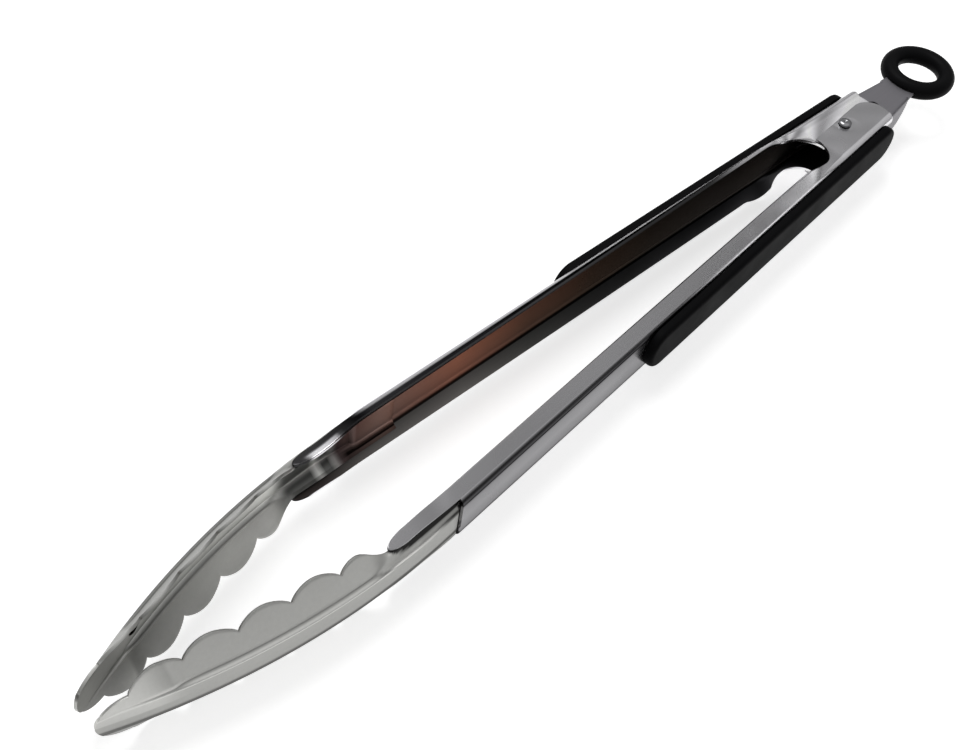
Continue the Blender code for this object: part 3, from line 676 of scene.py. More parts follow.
def head_edge(along):
    """Half the width at the free edge, with the scallops and the round tip."""
    count = (along - first_valley) / scallop_pitch
    swell = math.sin(math.pi * min(max(count / scallops, 0.0), 1.0)) ** swell_power
    neck_edge = arm_half_width + fit_gap
    if along <= last_valley:
        wave = abs(math.sin(math.pi * count)) ** scallop_power if count > 0.0 else 0.0
        wave *= mix(first_scallop_share, 1.0, ease(count))
        return mix(neck_edge, head_half_width, swell) + scallop_depth * wave
    return neck_edge * round_share(along - last_valley, tip_end - last_valley)


def rib_lines(along, edge):
    """Heights z of the rib's edge and of the crease beside it."""
    in_bowl = ease((along - first_valley + bowl_lead) / bowl_run)
    half_rib = min(rib_half_width, edge * rib_edge_share)
    rib_share = mix(neck_rib_share, bowl_rib_share, in_bowl)
    return half_rib * rib_share, half_rib + rib_side * in_bowl


def bowl_depth(along, z):
    """How far the bowl's outer face lies inside the rib's flat top at a height z."""
    rib_edge_z, crease_z = rib_lines(along, head_edge(min(along, last_valley)))
    tilt = mix(wing_tilt, tip_tilt, ease((along - (tip_end - rib_tip_margin)) / rib_tip_margin))
    rib = round_share(along - (rib_end - rib_round), rib_round)
    at_crease = rib_depth * rib + rib_side * math.tan(tilt)
    if z <= crease_z:
        return at_crease * ease((z - rib_edge_z) / (crease_z - rib_edge_z))
    return at_crease + (z - crease_z) * math.tan(tilt)


def head_face(along, column):
    """Place (y, z) on the outer face, from the near edge over the rib to the far edge."""
    mirrored = column > head_cells / 2
    if mirrored:
        column = head_cells - column
    back = head_back(along)
    in_bowl = ease((along - first_valley + bowl_lead) / bowl_run)
    edge = head_edge(along)
    flare = flare_at(min(along, wall_end + tongue_reach))
    depth = sheet + fit_gap
    drawn = depth * (1.0 - math.sin(flare)) / math.cos(flare)
    bend = bend_radius * math.tan((math.pi / 2.0 - flare) / 2.0)
    corner_y = arm_back - depth
    corner_z = arm_half_width - drawn
    rib_edge_z, crease_z = rib_lines(along, edge)
    if column <= wing_cells:
        share = column / wing_cells
        neck_reach = mix(bend + neck_wing, bend, share)
        neck = (corner_y - neck_reach * math.cos(flare), corner_z + neck_reach * math.sin(flare))
        bowl_z = mix(edge, crease_z, share)
    elif column <= half_head_cells:
        share = (column - wing_cells) / rib_side_cells
        neck_z = mix(corner_z + bend * math.sin(flare), corner_z - bend, share)
        start_y = corner_y - bend * math.cos(flare)
        neck = (mix(start_y, back, math.sin(math.pi / 2.0 * share)), neck_z)
        bowl_z = mix(crease_z, rib_edge_z, share)
    else:
        share = (column - half_head_cells) / rib_cells
        neck = (back, mix(corner_z - bend, bend - corner_z, share))
        bowl_z = mix(rib_edge_z, -rib_edge_z, share)
    y = mix(neck[0], back - bowl_depth(along, abs(bowl_z)), in_bowl)
    z = mix(neck[1], bowl_z, in_bowl)
    return y, -z if mirrored else z


def evenly(start, end, rows):
    """Places from start to just before end."""
    return [mix(start, end, row / rows) for row in range(rows)]


def head_stations():
    """Distances from the rivet along the head, closest together in the scallops' valleys."""
    stations = evenly(wall_end - head_neck, wall_end, neck_rows)
    stations += evenly(wall_end, wall_end + head_step, step_rows)
    stations += evenly(wall_end + head_step, first_valley - bowl_lead, root_rows)
    stations += evenly(first_valley - bowl_lead, first_valley, lead_rows)
    for scallop in range(scallops):
        for row in range(scallop_rows):
            share = 0.5 - 0.5 * math.cos(math.pi * row / scallop_rows)
            stations.append(first_valley + scallop_pitch * (scallop + share))
    return stations + evenly(last_valley, tip_end, tip_rows) + [tip_end]


tumbled_steel = (0.56, 0.56, 0.54)
# Both head finishes are scaled by painted highlight, reflection and shade values, and the inside also
# takes the channel's painted reflection colours.
head_outside = steel("head_steel_outside", tumbled_steel, dull=0.42, bright=0.34, streak=0.05, grain=0.3,
                     lengthways=False, painted_shade="outside_shade")
head_inside = steel("head_steel_inside", tumbled_steel, dull=0.44, bright=0.36, streak=0.05, grain=0.3,
                    lengthways=False, painted_colours=channel_painted_reflection, painted_shade="inside_shade")
# Painted highlight, reflection and shade tones on the heads. Pairs are lines, as line_at() takes them.
crease_line = (0.9, 0.40)
crease_dark = 0.45
rib_edge_line = (0.15, 0.30)
rib_edge_light = 0.28
creases_start = (first_valley - 0.012, 0.010, 0.0, 1.0)
near_tip = (last_valley - 0.014, 0.010, 0.0, 1.0)


def line_at(place, line):
    """1 in the middle of a soft line and 0 far from it: line is its middle and its width."""
    middle, width = line
    return math.exp(-((place - middle) / width) ** 2)


def crease_tone(along, z, rib_tone, wing_tone):
    """A painted dark line in the crease, a painted light one by the rib, fading at the neck and rib's end.
    """
    rib_edge_z, crease_z = rib_lines(along, head_edge(min(along, last_valley)))
    place = (abs(z) - rib_edge_z) / (crease_z - rib_edge_z)
    line = rib_edge_light * line_at(place, rib_edge_line) - crease_dark * line_at(place, crease_line)
    here = change(along, creases_start) * round_share(along - (rib_end - rib_round), rib_round)
    return mix(rib_tone, wing_tone, ease(place * here)) * (1.0 + line * here)


# Painted shadow and reflection where each tongue lies on the head: a dark line beside it, dark bands
# below.
bend_rise_share = 0.6
tongue_line_width = 0.0013
tongue_line_soft = 0.0004
tongue_line_tone = 0.07
neck_bands = (1.0, 0.85, 0.15, 0.10, 0.50)
neck_bands_start = 0.42
neck_bands_per_side = 8.6
neck_bands_end = 0.013
neck_bands_fade = 0.009
neck_root_tone = 1.15


def neck_tone(along, column):
    """Painted shadow beside each tongue, and the arm's painted bend lines on the bend that comes out
    below.
    """
    column = min(column, head_cells - column)
    down = (column - wing_cells) / rib_side_cells
    if down > 1.0:
        return 1.0
    past_root = along - wall_end - tongue_reach + tongue_round
    tongue_lift = (side_length - bend_radius * bend_rise_share) / 2.0
    tongue_lift *= 1.0 - round_share(past_root, tongue_round)
    reach = -down * bend_radius * 2.0 * bend_rise_share
    if down <= 0.0:
        reach = neck_wing * (1.0 - column / wing_cells)
    beside = 1.0 - ease((tongue_lift - reach - tongue_line_width) / tongue_line_soft)
    beside *= ease((wall_end + tongue_reach - along) / tongue_line_soft)
    below = 1.0
    if down > neck_bands_start:
        band = min(int((down - neck_bands_start) * neck_bands_per_side), len(neck_bands) - 1)
        banded = ease((wall_end + neck_bands_end - along) / neck_bands_fade)
        below = mix(neck_root_tone, neck_bands[band], banded)
    return mix(below, tongue_line_tone, beside)


# Painted reflection outside the heads: rib darker than the wings, a dark line at one edge, tips changed.
outside_rib_tone = 0.74
far_wing_tone = 0.92
far_tip_tone = 1.25
near_wing_tone = 0.70
near_tip_tone = 0.35
edge_line_dark = 0.55
edge_line_start = (0.55, 0.2, 0.0, 1.0)
edge_line_end = (1.05, 0.1, 1.0, 0.0)


def bowl_outside_tone(along, z):
    """Painted reflection: the rib a little darker than the wings, and a painted dark line along one of its
    edges.
    """
    at_tip = change(along, near_tip)
    if z > 0.0:
        return crease_tone(along, z, outside_rib_tone, far_wing_tone) * mix(1.0, far_tip_tone, at_tip)
    down = -z / rib_lines(along, head_edge(min(along, last_valley)))[0]
    edge_line = change(down, edge_line_start) * change(down, edge_line_end)
    wing_tone = mix(near_wing_tone, near_tip_tone, at_tip)
    tone = crease_tone(along, z, outside_rib_tone, wing_tone)
    return tone * (1.0 - edge_line_dark * edge_line)


# Painted shade and highlights inside the heads: dark neck and tip, painted light and dark lines, glints.
hidden_neck_tone = 0.35
bends_end = (wall_end + 0.004, 0.004, 0.0, 1.0)
bowl_starts = (first_valley, 0.006, 0.0, 1.0)
open_neck_start = wall_end + 0.010
open_neck_tone = 0.22
open_neck_side = -0.001
neck_glint_line = (0.0045, 0.0008)
neck_glint_light = 0.60
neck_dark_line = (0.0062, 0.0007)
neck_dark_line_depth = 0.14
neck_edge_tones = (0.0075, 0.002, 0.0, 0.2)
glint_along = (0.210, 0.004)
glint_height = (-0.0052, 0.0012)
glint_light = 2.2
cross_line = (wall_end + 0.0150, 0.0008)
cross_line_light = 0.9
bowl_root_line = (0.256, 0.006)
bowl_root_light = 0.25
bowl_fade_start = 0.262
bowl_fade_run = 0.045
bowl_root_tone = 0.95
bowl_end_tone = 0.60
inside_rib_tone = 1.30
inside_wing_tone = 0.88
inside_rim_tone = 0.68
rim_run = 0.008
inside_tip_tone = 0.50


def scoop_tone(along, z, column):
    """Painted shade inside: darker to the tip, a dark neck out of the channel, and painted glints and
    lines.
    """
    column = min(column, head_cells - column)
    down = (column - wing_cells) / rib_side_cells
    in_bowl = change(along, bowl_starts)
    bend = hidden_neck_tone
    if down >= 0.0:
        bend = inside_bend_tones[min(int(down * bend_cells), bend_cells)]
    neck = mix(bend, 1.0, change(along, bends_end))
    if z > open_neck_side and along > open_neck_start:
        neck_lines = neck_glint_light * line_at(z, neck_glint_line) - neck_dark_line_depth * line_at(z, neck_dark_line)
        neck = mix(open_neck_tone + neck_lines + change(z, neck_edge_tones), 1.0, in_bowl)
    glint = glint_light * line_at(along, glint_along) * line_at(z, glint_height)
    lines = cross_line_light * line_at(along, cross_line)
    lines += bowl_root_light * line_at(along, bowl_root_line)
    fading = min(max((along - bowl_fade_start) / bowl_fade_run, 0.0), 1.0)
    outwards = min(max((abs(z) - rib_half_width - rib_side) / rim_run, 0.0), 1.0)
    bowl = crease_tone(along, z, inside_rib_tone, mix(inside_wing_tone, inside_rim_tone, outwards))
    bowl = mix(bowl * mix(bowl_root_tone, bowl_end_tone, fading), inside_tip_tone, change(along, near_tip))
    return (neck + glint + lines) * mix(1.0, bowl, in_bowl)


def press_head(name):
    """Stamps one head from its flat blank."""
    stations = head_stations()
    rows = len(stations) - 1
    head = flat_blank(name, rows, head_cells)
    columns = [round((corner.co.y + 0.5) * head_cells) for corner in head.data.vertices]
    for corner, column in zip(head.data.vertices, columns):
        along = stations[round((corner.co.x + 0.5) * rows)]
        if along > last_valley:
            run = (along - last_valley) / (tip_end - last_valley)
            edge = head_edge(last_valley)
            across = head_face(last_valley, column)[1] / edge
            along = mix(last_valley, tip_end, run * math.sqrt(1.0 - across * across / 2.0))
            z = edge * across * math.sqrt(1.0 - run * run / 2.0)
            y = head_back(along) - bowl_depth(along, abs(z))
        else:
            y, z = head_face(along, column)
        corner.co = (along, y, z)
    # Painted highlight, reflection and shade values for each vertex, outside and inside.
    outside = head.data.attributes.new("outside_shade", "FLOAT", "POINT")
    inside = head.data.attributes.new("inside_shade", "FLOAT", "POINT")
    for index, (corner, column) in enumerate(zip(head.data.vertices, columns)):
        along, z = corner.co.x, corner.co.z
        outside.data[index].value = bowl_outside_tone(along, z) * neck_tone(along, column)
        inside.data[index].value = scoop_tone(along, z, column)
    head.data.materials.append(head_outside)
    head.data.materials.append(head_inside)
    thicken(head, sheet)
    return head


outer_head = press_head("outer_head_scoop")
set_in_place(outer_head, half_opening)
smooth(outer_head, sheet_smoothing)
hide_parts("outer_head")
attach(outer_head, "outer")

hole_radius = 0.0018
hole_margin = 0.0040
hole_along = tip_end - rib_tip_margin - hole_margin
inner_head = press_head("inner_head_scoop")
bore(inner_head, hole_radius, (hole_along, head_back(hole_along), 0.0), (math.pi / 2.0, 0.0, 0.0))
set_in_place(inner_head, -half_opening, turned_over=True)
smooth(inner_head, sheet_smoothing)
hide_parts("inner_head")
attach(inner_head, "inner")

# Grips: soft black pads moulded with round ends and edges, bonded along the back of each arm.
# They have a fine matt grain.
grip_length = 0.1520
grip_thickness = 0.0032
grip_inset = 0.0005
grip_half_width = arm_half_width - grip_inset
grip_tail_margin = 0.0012
grip_start = grip_tail_margin - tail_reach
grip_sides = 64
grip_edge = 0.0021
grip_edge_steps = 7
grip_edge_shape = 0.62
soft_black = (0.0030, 0.0030, 0.0034)
moulded_shine = 0.03
moulded_relief = 0.00004
pit_detail = 3.0
rub_scale = 60.0
rub_detail = 4.0


def moulded(name, colour, dull, bright, pit_scale, grain):
    """Moulded black plastic or rubber with a fine grain, rubbed smoother in places."""
    finish, tree, shader = new_finish(name)
    shader.inputs["Base Color"].default_value = (*colour, 1.0)
    shader.inputs["Specular IOR Level"].default_value = moulded_shine
    place = tree.nodes.new("ShaderNodeTexCoord").outputs["Object"]
    pits = noise(tree, place, pit_scale, pit_detail)
    gloss = spread(tree, noise(tree, place, rub_scale, rub_detail), bright, dull)
    tree.links.new(gloss, shader.inputs["Roughness"])
    emboss(tree, shader, pits, grain, moulded_relief)
    return finish


grip_rubber = moulded("grip_rubber", soft_black, dull=0.62, bright=0.50, pit_scale=2600.0, grain=0.5)


def mould_grip(name):
    """A round slug is drawn out lengthwise, then its outer edge is rounded over."""
    low = arm_back + fit_gap
    top = low + grip_thickness
    middle = grip_start + grip_half_width
    bpy.ops.object.select_all(action="DESELECT")
    bpy.ops.mesh.primitive_cylinder_add(vertices=grip_sides, radius=grip_half_width, depth=grip_thickness,
                                        location=(middle, low + grip_thickness / 2.0, 0.0),
                                        rotation=(math.pi / 2.0, 0.0, 0.0))
    grip = named(name)
    bpy.ops.object.transform_apply(location=True, rotation=True, scale=True)
    mark(grip, "VERT", lambda ends: ends[0].x > middle + tiny)
    bpy.ops.transform.translate(value=(grip_length - 2.0 * grip_half_width, 0.0, 0.0))
    bpy.ops.object.mode_set(mode="OBJECT")
    mark(grip, "EDGE", lambda ends: all(abs(end.y - top) < tiny for end in ends))
    bpy.ops.mesh.bevel(offset=grip_edge, segments=grip_edge_steps, profile=grip_edge_shape)
    bpy.ops.object.mode_set(mode="OBJECT")
    grip.data.materials.append(grip_rubber)
    return grip


round_smoothing = 40.0
outer_grip = mould_grip("outer_grip_pad")
inner_grip = outer_grip.copy()
inner_grip.data = outer_grip.data.copy()
inner_grip.name = "inner_grip_pad"
inner_grip.data.name = "inner_grip_pad"
bpy.context.scene.collection.objects.link(inner_grip)
set_in_place(outer_grip, half_opening)
set_in_place(inner_grip, -half_opening, turned_over=True)
for grip, side in ((outer_grip, "outer"), (inner_grip, "inner")):
    smooth(grip, round_smoothing)
    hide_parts(side + "_grip")
    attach(grip, side)

# Rivet and bush: a chromed rivet is headed over both outer ears, its crown struck with a small
# dimple. A plain steel bush on it keeps the ears apart and carries the spring.
rivet_shank = 0.0013
rivet_crown = 0.0024
crown_height = 0.0011
crown_dimple = 0.0004
crown_rim = 0.0003
dimple_share = 0.34
flat_share = 0.40
dimple_steps = 6
crown_steps = 8
rivet_sides = 48
weld_distance = 1e-7
bush_radius = 0.0021
bush_chamfer = 0.00015
bush_sides = 40
bright_chrome = (0.25, 0.25, 0.26)


def turned(name, profile, steps):
    """Draws a profile of (radius, height) from one vertex and turns it about the rivet's axis."""
    bpy.ops.object.select_all(action="DESELECT")
    bpy.ops.mesh.primitive_plane_add(size=rivet_shank)
    piece = named(name)
    bpy.ops.object.mode_set(mode="EDIT")
    bpy.ops.mesh.select_mode(type="VERT")
    bpy.ops.mesh.merge(type="CENTER")
    bpy.ops.transform.translate(value=(profile[0][0], 0.0, profile[0][1]))
    for before, after in zip(profile, profile[1:]):
        move = (after[0] - before[0], 0.0, after[1] - before[1])
        bpy.ops.mesh.extrude_region_move(TRANSFORM_OT_translate={"value": move})
    bpy.ops.object.mode_set(mode="OBJECT")
    lathe = piece.modifiers.new("lathe", "SCREW")
    lathe.angle = 2.0 * math.pi
    lathe.steps = steps
    lathe.render_steps = steps
    bpy.ops.object.modifier_apply(modifier=lathe.name)
    bpy.ops.object.mode_set(mode="EDIT")
    bpy.ops.mesh.select_all(action="SELECT")
    bpy.ops.mesh.remove_doubles(threshold=weld_distance)
    bpy.ops.mesh.normals_make_consistent(inside=False)
    bpy.ops.object.mode_set(mode="OBJECT")
    return piece


def crown_profile(face):
    """Radius and height over one rivet head, from the dimple's middle to the shank."""
    top = face + crown_height
    points = [(0.0, top - crown_dimple)]
    for step in range(1, dimple_steps + 1):
        share = step / dimple_steps
        points.append((rivet_crown * dimple_share * share, top - crown_dimple * (1.0 - ease(share))))
    for step in range(1, crown_steps + 1):
        angle = math.pi / 2.0 * step / crown_steps
        points.append((mix(rivet_crown * flat_share, rivet_crown, math.sin(angle)),
                       mix(face + crown_rim, top, math.cos(angle))))
    points.append((rivet_crown, face))
    points.append((rivet_shank, face))
    return points


rivet_steel = steel("rivet_chrome", bright_chrome, dull=0.16, bright=0.08, streak=0.04, grain=0.2,
                    lengthways=False)
bush_steel = steel("bush_steel", satin_steel, dull=0.36, bright=0.28, streak=0.08, grain=0.5,
                   lengthways=False)
ear_face = arm_half_width + fit_gap
upper = crown_profile(ear_face)
lower = [(radius, -height) for radius, height in reversed(upper)]
rivet = turned("rivet_headed", upper + lower, rivet_sides)
rivet.data.materials.append(rivet_steel)
set_in_place(rivet)
smooth(rivet, round_smoothing)
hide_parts("pivot_rivet")
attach(rivet, "pivot")

ear_inside = arm_half_width - 2.0 * sheet - fit_gap
bush_half = ear_inside - fit_gap
bush_bore = rivet_shank + fit_gap
bush_flat = bush_radius - bush_chamfer
bush_profile = [(bush_bore, bush_half), (bush_flat, bush_half), (bush_radius, bush_half - bush_chamfer),
                (bush_radius, bush_chamfer - bush_half), (bush_flat, -bush_half),
                (bush_bore, -bush_half), (bush_bore, bush_half)]
bush = turned("bush_turned", bush_profile, bush_sides)
bush.data.materials.append(bush_steel)
set_in_place(bush)
smooth(bush, round_smoothing)
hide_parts("pivot_bush")
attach(bush, "pivot")

# Spring: 0.9 mm hard steel wire wound four turns round the bush, with a leg along the inside of
# each arm, shaped as it is with the tongs at rest.
spring_wire = 0.0009
wire_roundness = 3
spring_turns = 4
spring_end_margin = 0.0010
coil_steps = 120
leg_lean = math.radians(35.0)
leg_foot = 0.0040
leg_middle_share = 0.5
knee_share = 0.93
foot_share = 0.12
wire_steel = (0.42, 0.41, 0.40)
wire_smoothing = 50.0


def spring_points():
    """The wire's middle line, from one foot over the coil to the other, which mirrors it."""
    radius = bush_radius + 2.0 * fit_gap + spring_wire / 2.0
    top = bush_half - spring_end_margin - fit_gap - spring_wire / 2.0
    wall = arm_back - sheet - fit_gap - spring_wire / 2.0
    rise = math.tan(half_opening)
    start = Vector((-radius * math.sin(leg_lean), radius * math.cos(leg_lean), top))
    to_wall = wall / math.cos(half_opening) + start.x * rise - start.y
    reach = to_wall / (math.sin(leg_lean) - rise * math.cos(leg_lean))
    tip = start + reach * Vector((math.cos(leg_lean), math.sin(leg_lean), 0.0))
    foot = tip + leg_foot * Vector((math.cos(half_opening), math.sin(half_opening), 0.0))
    last = [start, start.lerp(tip, leg_middle_share), start.lerp(tip, knee_share),
            tip.lerp(foot, foot_share), foot]
    first = [Vector((point.x, -point.y, -point.z)) for point in reversed(last)]
    sweep = -(2.0 * math.pi * spring_turns + math.pi - 2.0 * leg_lean)
    coil = []
    for step in range(1, coil_steps):
        share = step / coil_steps
        angle = -math.pi / 2.0 - leg_lean + sweep * share
        coil.append(Vector((radius * math.cos(angle), radius * math.sin(angle), mix(-top, top, share))))
    return first + coil + last


route = bpy.data.curves.new("spring_wound", "CURVE")
route.dimensions = "3D"
route.bevel_depth = spring_wire / 2.0
route.bevel_resolution = wire_roundness
route.use_fill_caps = True
line = route.splines.new("POLY")
places = spring_points()
line.points.add(len(places) - 1)
for knot, place in zip(line.points, places):
    knot.co = (*place, 1.0)
spring = bpy.data.objects.new("spring_wound", route)
bpy.context.scene.collection.objects.link(spring)
pick(spring)
bpy.ops.object.convert(target="MESH")
spring = bpy.context.object
spring.data.materials.append(steel("spring_wire", wire_steel, dull=0.34, bright=0.26, streak=0.06,
                                   grain=0.3, lengthways=False))
set_in_place(spring)
smooth(spring, wire_smoothing)
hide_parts("torsion_spring")
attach(spring, "pivot")

# Lock tab: a 1 mm strip folded into a channel, tapered to a neck that the ring is moulded on.
# A slot in its plate slides on the bush. Plain satin steel.
tab_sheet = 0.0010
tab_land = 0.0026
tab_slack = 0.0018
tab_neck_half = 0.0062
tab_root = 0.0183
tab_length = 0.0190
ring_entry = 0.0032
slot_outer = 0.0225
tab_bend = 0.0012
side_start = 0.0120
side_end = 0.0345
side_round = 0.0080
round_start = side_end - side_round
tab_colour = (0.205, 0.20, 0.215)
tab_plate = bush_half
tab_wide = (arm_back - sheet) * math.cos(half_opening) - tail_reach * math.sin(half_opening) - fit_gap
tab_side_cells = 6
tab_bend_cells = 5
tab_plate_cells = 14
half_tab_cells = tab_side_cells + tab_bend_cells
tab_cells = 2 * half_tab_cells + tab_plate_cells
tab_end_rows = 14
tab_side_rows = 12
# The round corner stops a little before its end, so that the side doesn't come to a sharp point.
tab_round_rows = 10
tab_round_stop = 10.4
tab_neck_rows = 8
slot_sides = 48
slot_punch_length = 0.0100


def tab_face(along, column, folded):
    """Place (y, z) on the tab's outer face, from the edge of one folded side over the plate."""
    mirrored = column > tab_cells / 2
    if mirrored:
        column = tab_cells - column
    half = mix(tab_wide, tab_neck_half, min(max((along - tab_root) / tab_length, 0.0), 1.0))
    height = 2.0 * tab_plate - tab_bend
    if along > round_start:
        height *= round_share(along - round_start, side_round)
    knee = tab_plate - tab_bend
    if column <= tab_side_cells:
        y, z = half, mix(knee - height, knee, column / tab_side_cells)
    elif column <= half_tab_cells:
        turn = math.pi / 2.0 * (column - tab_side_cells) / tab_bend_cells
        y = half - tab_bend + tab_bend * math.cos(turn)
        z = knee + tab_bend * math.sin(turn)
    else:
        share = (column - half_tab_cells) / tab_plate_cells
        y, z = (half - tab_bend if folded else half) * (1.0 - 2.0 * share), tab_plate
    if not folded and column <= half_tab_cells:
        y, z = half, tab_plate
    return -y if mirrored else y, z


def tab_rows_between(start, end, rows, folded):
    """Distances from the rivet, both ends included, and whether the strip is folded there."""
    return [(mix(start, end, row / rows), folded) for row in range(rows + 1)]


tab_end = -(tab_land + bush_radius + fit_gap + tab_slack)
neck_end = tab_root + tab_length + ring_entry
tab_stations = tab_rows_between(tab_end, side_start - fit_gap, tab_end_rows, False)
tab_stations += tab_rows_between(side_start, round_start, tab_side_rows, True)
for row in range(1, tab_round_rows + 1):
    angle = math.pi / 2.0 * row / tab_round_stop
    tab_stations.append((round_start + side_round * math.sin(angle), True))
tab_stations += tab_rows_between(side_end + fit_gap, neck_end, tab_neck_rows, False)
tab_rows = len(tab_stations) - 1
tab = flat_blank("lock_tab_folded", tab_rows, tab_cells)


def beside_the_plate(x, y):
    """Only the middle of the strip has sides to fold, and the rest is the plate alone."""
    row = int(x * tab_rows)
    on_side = not half_tab_cells <= int(y * tab_cells) < tab_cells - half_tab_cells
    return on_side and not (tab_stations[row][1] and tab_stations[row + 1][1])


cut_away(tab, beside_the_plate)
for corner in tab.data.vertices:
    along, folded = tab_stations[round((corner.co.x + 0.5) * tab_rows)]
    y, z = tab_face(along, round((corner.co.y + 0.5) * tab_cells), folded)
    corner.co = (-along, y, z)
tab_steel = steel("lock_tab_steel", tab_colour, dull=0.46, bright=0.38, streak=0.04, grain=0.1)
# The outside and the inside of the strip have the same finish.
tab.data.materials.append(tab_steel)
tab.data.materials.append(tab_steel)
thicken(tab, tab_sheet)
slot_half_width = bush_radius + fit_gap
slot_end = slot_half_width + tab_slack
slot_middle = slot_end - slot_half_width
bpy.ops.object.select_all(action="DESELECT")
bpy.ops.mesh.primitive_cylinder_add(vertices=slot_sides, radius=slot_half_width, depth=slot_punch_length,
                                    location=(slot_middle, 0.0, tab_plate))
slot_punch = bpy.context.object
bpy.ops.object.transform_apply(location=True, rotation=True, scale=True)
mark(slot_punch, "VERT", lambda ends: ends[0].x < slot_middle - tiny)
bpy.ops.transform.translate(value=(-(slot_outer + slot_end - 2.0 * slot_half_width), 0.0, 0.0))
bpy.ops.object.mode_set(mode="OBJECT")
cut_out(tab, slot_punch)
set_in_place(tab)
smooth(tab, sheet_smoothing)
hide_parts("lock_tab")
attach(tab, "lock")

# Ring: a round black plastic loop moulded onto the end of the tab, to pull it or hang the tongs by.
ring_radius = 0.0108
ring_tube = 0.0033
ring_steps = 96
ring_tube_steps = 32
ring_black = (0.005, 0.005, 0.0055)
ring_centre = tab_root + tab_length + ring_radius + ring_tube - fit_gap
ring_level = tab_plate - tab_sheet / 2.0
bpy.ops.object.select_all(action="DESELECT")
bpy.ops.mesh.primitive_torus_add(major_segments=ring_steps, minor_segments=ring_tube_steps,
                                 major_radius=ring_radius, minor_radius=ring_tube,
                                 location=(-ring_centre, 0.0, ring_level))
ring = named("pull_ring_moulded")
bpy.ops.object.transform_apply(location=True, rotation=True, scale=True)
pocket_near = -tab_root
pocket_far = -(neck_end + fit_gap)
bpy.ops.object.select_all(action="DESELECT")
bpy.ops.mesh.primitive_cube_add(size=1.0, location=((pocket_near + pocket_far) / 2.0, 0.0, ring_level),
                                scale=(pocket_near - pocket_far, 2.0 * (tab_neck_half + fit_gap),
                                       tab_sheet + 2.0 * fit_gap))
cut_out(ring, bpy.context.object)
ring.data.materials.append(moulded("ring_plastic", ring_black, dull=0.50, bright=0.38, pit_scale=2000.0,
                                   grain=0.4))
set_in_place(ring)
smooth(ring, round_smoothing)
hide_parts("pull_ring")
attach(ring, "lock")

# Studio: a white table under a soft even light. Table and sky look white where they are seen, and
# give the tongs only a plain level of light.
table_width = 12.0
white_table = (0.82, 0.82, 0.82, 1.0)
white = (1.0, 1.0, 1.0, 1.0)
paper_roughness = 0.9
table_glow = 0.67
dim_sky = 0.30


def seen_directly(tree):
    """1 where the camera looks straight at it, or by way of a glossy or clear piece, and 0 elsewhere."""
    path = tree.nodes.new("ShaderNodeLightPath")
    seen = path.outputs["Is Camera Ray"]
    for ray in ("Is Glossy Ray", "Is Transmission Ray"):
        either = tree.nodes.new("ShaderNodeMath")
        either.operation = "MAXIMUM"
        tree.links.new(seen, either.inputs[0])
        tree.links.new(path.outputs[ray], either.inputs[1])
        seen = either.outputs["Value"]
    return seen


bpy.ops.object.select_all(action="DESELECT")
bpy.ops.mesh.primitive_plane_add(size=table_width, location=(0.0, 0.0, 0.0))
table_top = bpy.context.object
table_top.name = "table_top"
paper, paper_tree, paper_shader = new_finish("white_paper")
paper_shader.inputs["Base Color"].default_value = white_table
paper_shader.inputs["Roughness"].default_value = paper_roughness
paper_shader.inputs["Emission Color"].default_value = white
lift = paper_tree.nodes.new("ShaderNodeMath")
lift.operation = "MULTIPLY"
lift.inputs[1].default_value = table_glow
paper_tree.links.new(seen_directly(paper_tree), lift.inputs[0])
paper_tree.links.new(lift.outputs["Value"], paper_shader.inputs["Emission Strength"])
table_top.data.materials.append(paper)

world = bpy.data.worlds.new("studio")
bpy.context.scene.world = world
world.use_nodes = True
sky = world.node_tree.nodes["Background"]
sky.inputs["Color"].default_value = white
level = world.node_tree.nodes.new("ShaderNodeMapRange")
level.inputs["To Min"].default_value = dim_sky
level.inputs["To Max"].default_value = 1.0
world.node_tree.links.new(seen_directly(world.node_tree), level.inputs["Value"])
world.node_tree.links.new(level.outputs["Result"], sky.inputs["Strength"])

# A grey surround that only polished pieces see gives the steel its dark horizon line.
surround_radius = 1.5
surround_height = 1.7
surround_sides = 96
horizon_greys = ((0.0, 0.08), (0.10, 0.10), (0.16, 0.42), (0.55, 0.52), (1.0, 0.62))
bpy.ops.object.select_all(action="DESELECT")
bpy.ops.mesh.primitive_cylinder_add(vertices=surround_sides, radius=surround_radius, depth=surround_height,
                                    end_fill_type="NOTHING", location=(0.0, 0.0, surround_height / 2.0))
surround = bpy.context.object
surround.name = "grey_surround"
bpy.ops.object.transform_apply(location=True, rotation=True, scale=True)
felt = bpy.data.materials.new("grey_felt")
felt.use_nodes = True
felt_tree = felt.node_tree
felt_tree.nodes.remove(felt_tree.nodes["Principled BSDF"])
glow = felt_tree.nodes.new("ShaderNodeEmission")
height = felt_tree.nodes.new("ShaderNodeSeparateXYZ")
felt_place = felt_tree.nodes.new("ShaderNodeTexCoord")
rise = felt_tree.nodes.new("ShaderNodeMapRange")
rise.inputs["From Max"].default_value = surround_height
greys = felt_tree.nodes.new("ShaderNodeValToRGB")
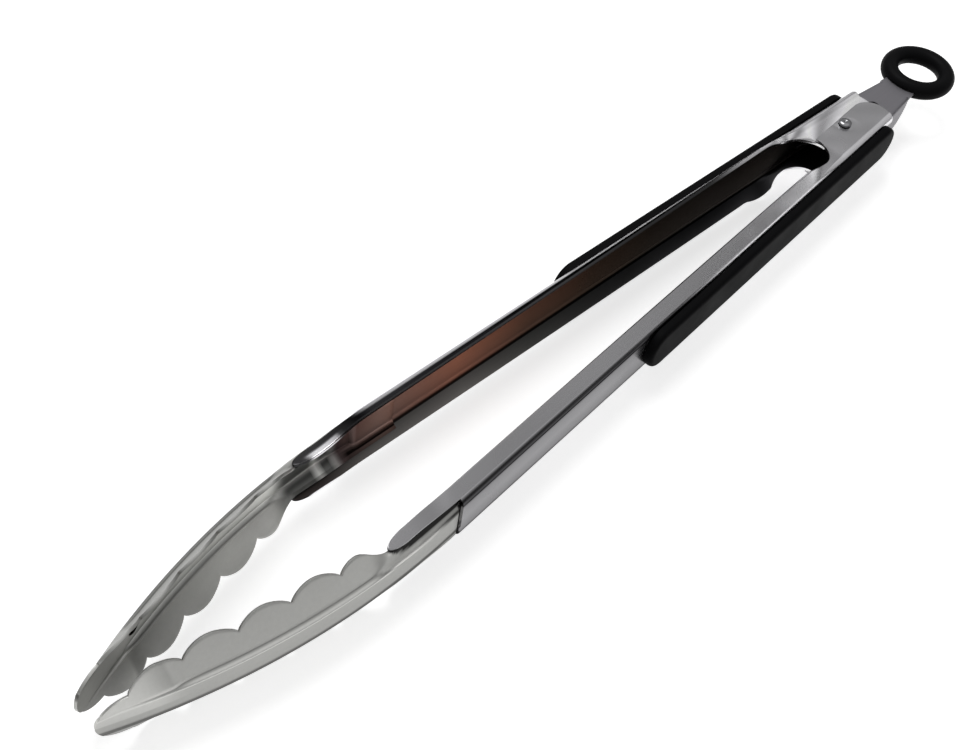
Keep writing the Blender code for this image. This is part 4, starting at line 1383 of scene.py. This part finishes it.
fill_ramp(greys.color_ramp, [(share, (grey, grey, grey)) for share, grey in horizon_greys])
felt_tree.links.new(felt_place.outputs["Object"], height.inputs["Vector"])
felt_tree.links.new(height.outputs["Z"], rise.inputs["Value"])
felt_tree.links.new(rise.outputs["Result"], greys.inputs["Fac"])
felt_tree.links.new(greys.outputs["Color"], glow.inputs["Color"])
felt_tree.links.new(glow.outputs["Emission"], felt_tree.nodes["Material Output"].inputs["Surface"])
surround.data.materials.append(felt)
surround.visible_camera = False
surround.visible_diffuse = False
surround.visible_shadow = False

# One large soft lamp hangs behind and above the tongs.
lamp_place = Vector((-0.2, -0.5, 1.1))
lamp_width = 0.8
lamp_power = 7.0
lamp = bpy.data.lights.new("soft_overhead", "AREA")
lamp.shape = "DISK"
lamp.size = lamp_width
lamp.energy = lamp_power
lamp_holder = bpy.data.objects.new("soft_overhead", lamp)
bpy.context.scene.collection.objects.link(lamp_holder)
lamp_holder.location = lamp_place
lamp_holder.rotation_euler = (-lamp_place).to_track_quat("-Z", "Y").to_euler()

# The camera stands above the heads and looks back along the arms. Its place, measured from the
# rivet, its directions and its lens were fitted to the photograph.
lens_length = 54.92
sensor_width = 36.0
nearest_seen = 0.01
farthest_seen = 50.0
camera_from_rivet = Vector((0.41453, 0.16395, 0.3455))
camera_forward = Vector((-0.52468, -0.38083, -0.7620))
camera_right = Vector((-0.68053, 0.72463, 0.1070))
camera_data = bpy.data.cameras.new("camera")
camera_data.sensor_width = sensor_width
camera_data.lens = lens_length
camera_data.clip_start = nearest_seen
camera_data.clip_end = farthest_seen
camera = bpy.data.objects.new("camera", camera_data)
bpy.context.scene.collection.objects.link(camera)
forward = camera_forward.normalized()
right = (camera_right - forward * camera_right.dot(forward)).normalized()
upward = right.cross(forward)
camera.location = pivot + camera_from_rivet
camera.rotation_mode = "QUATERNION"
turn = [[right[axis], upward[axis], -forward[axis]] for axis in range(3)]
camera.rotation_quaternion = Matrix(turn).to_quaternion()
bpy.context.scene.camera = camera
bpy.context.scene.view_settings.view_transform = "Standard"
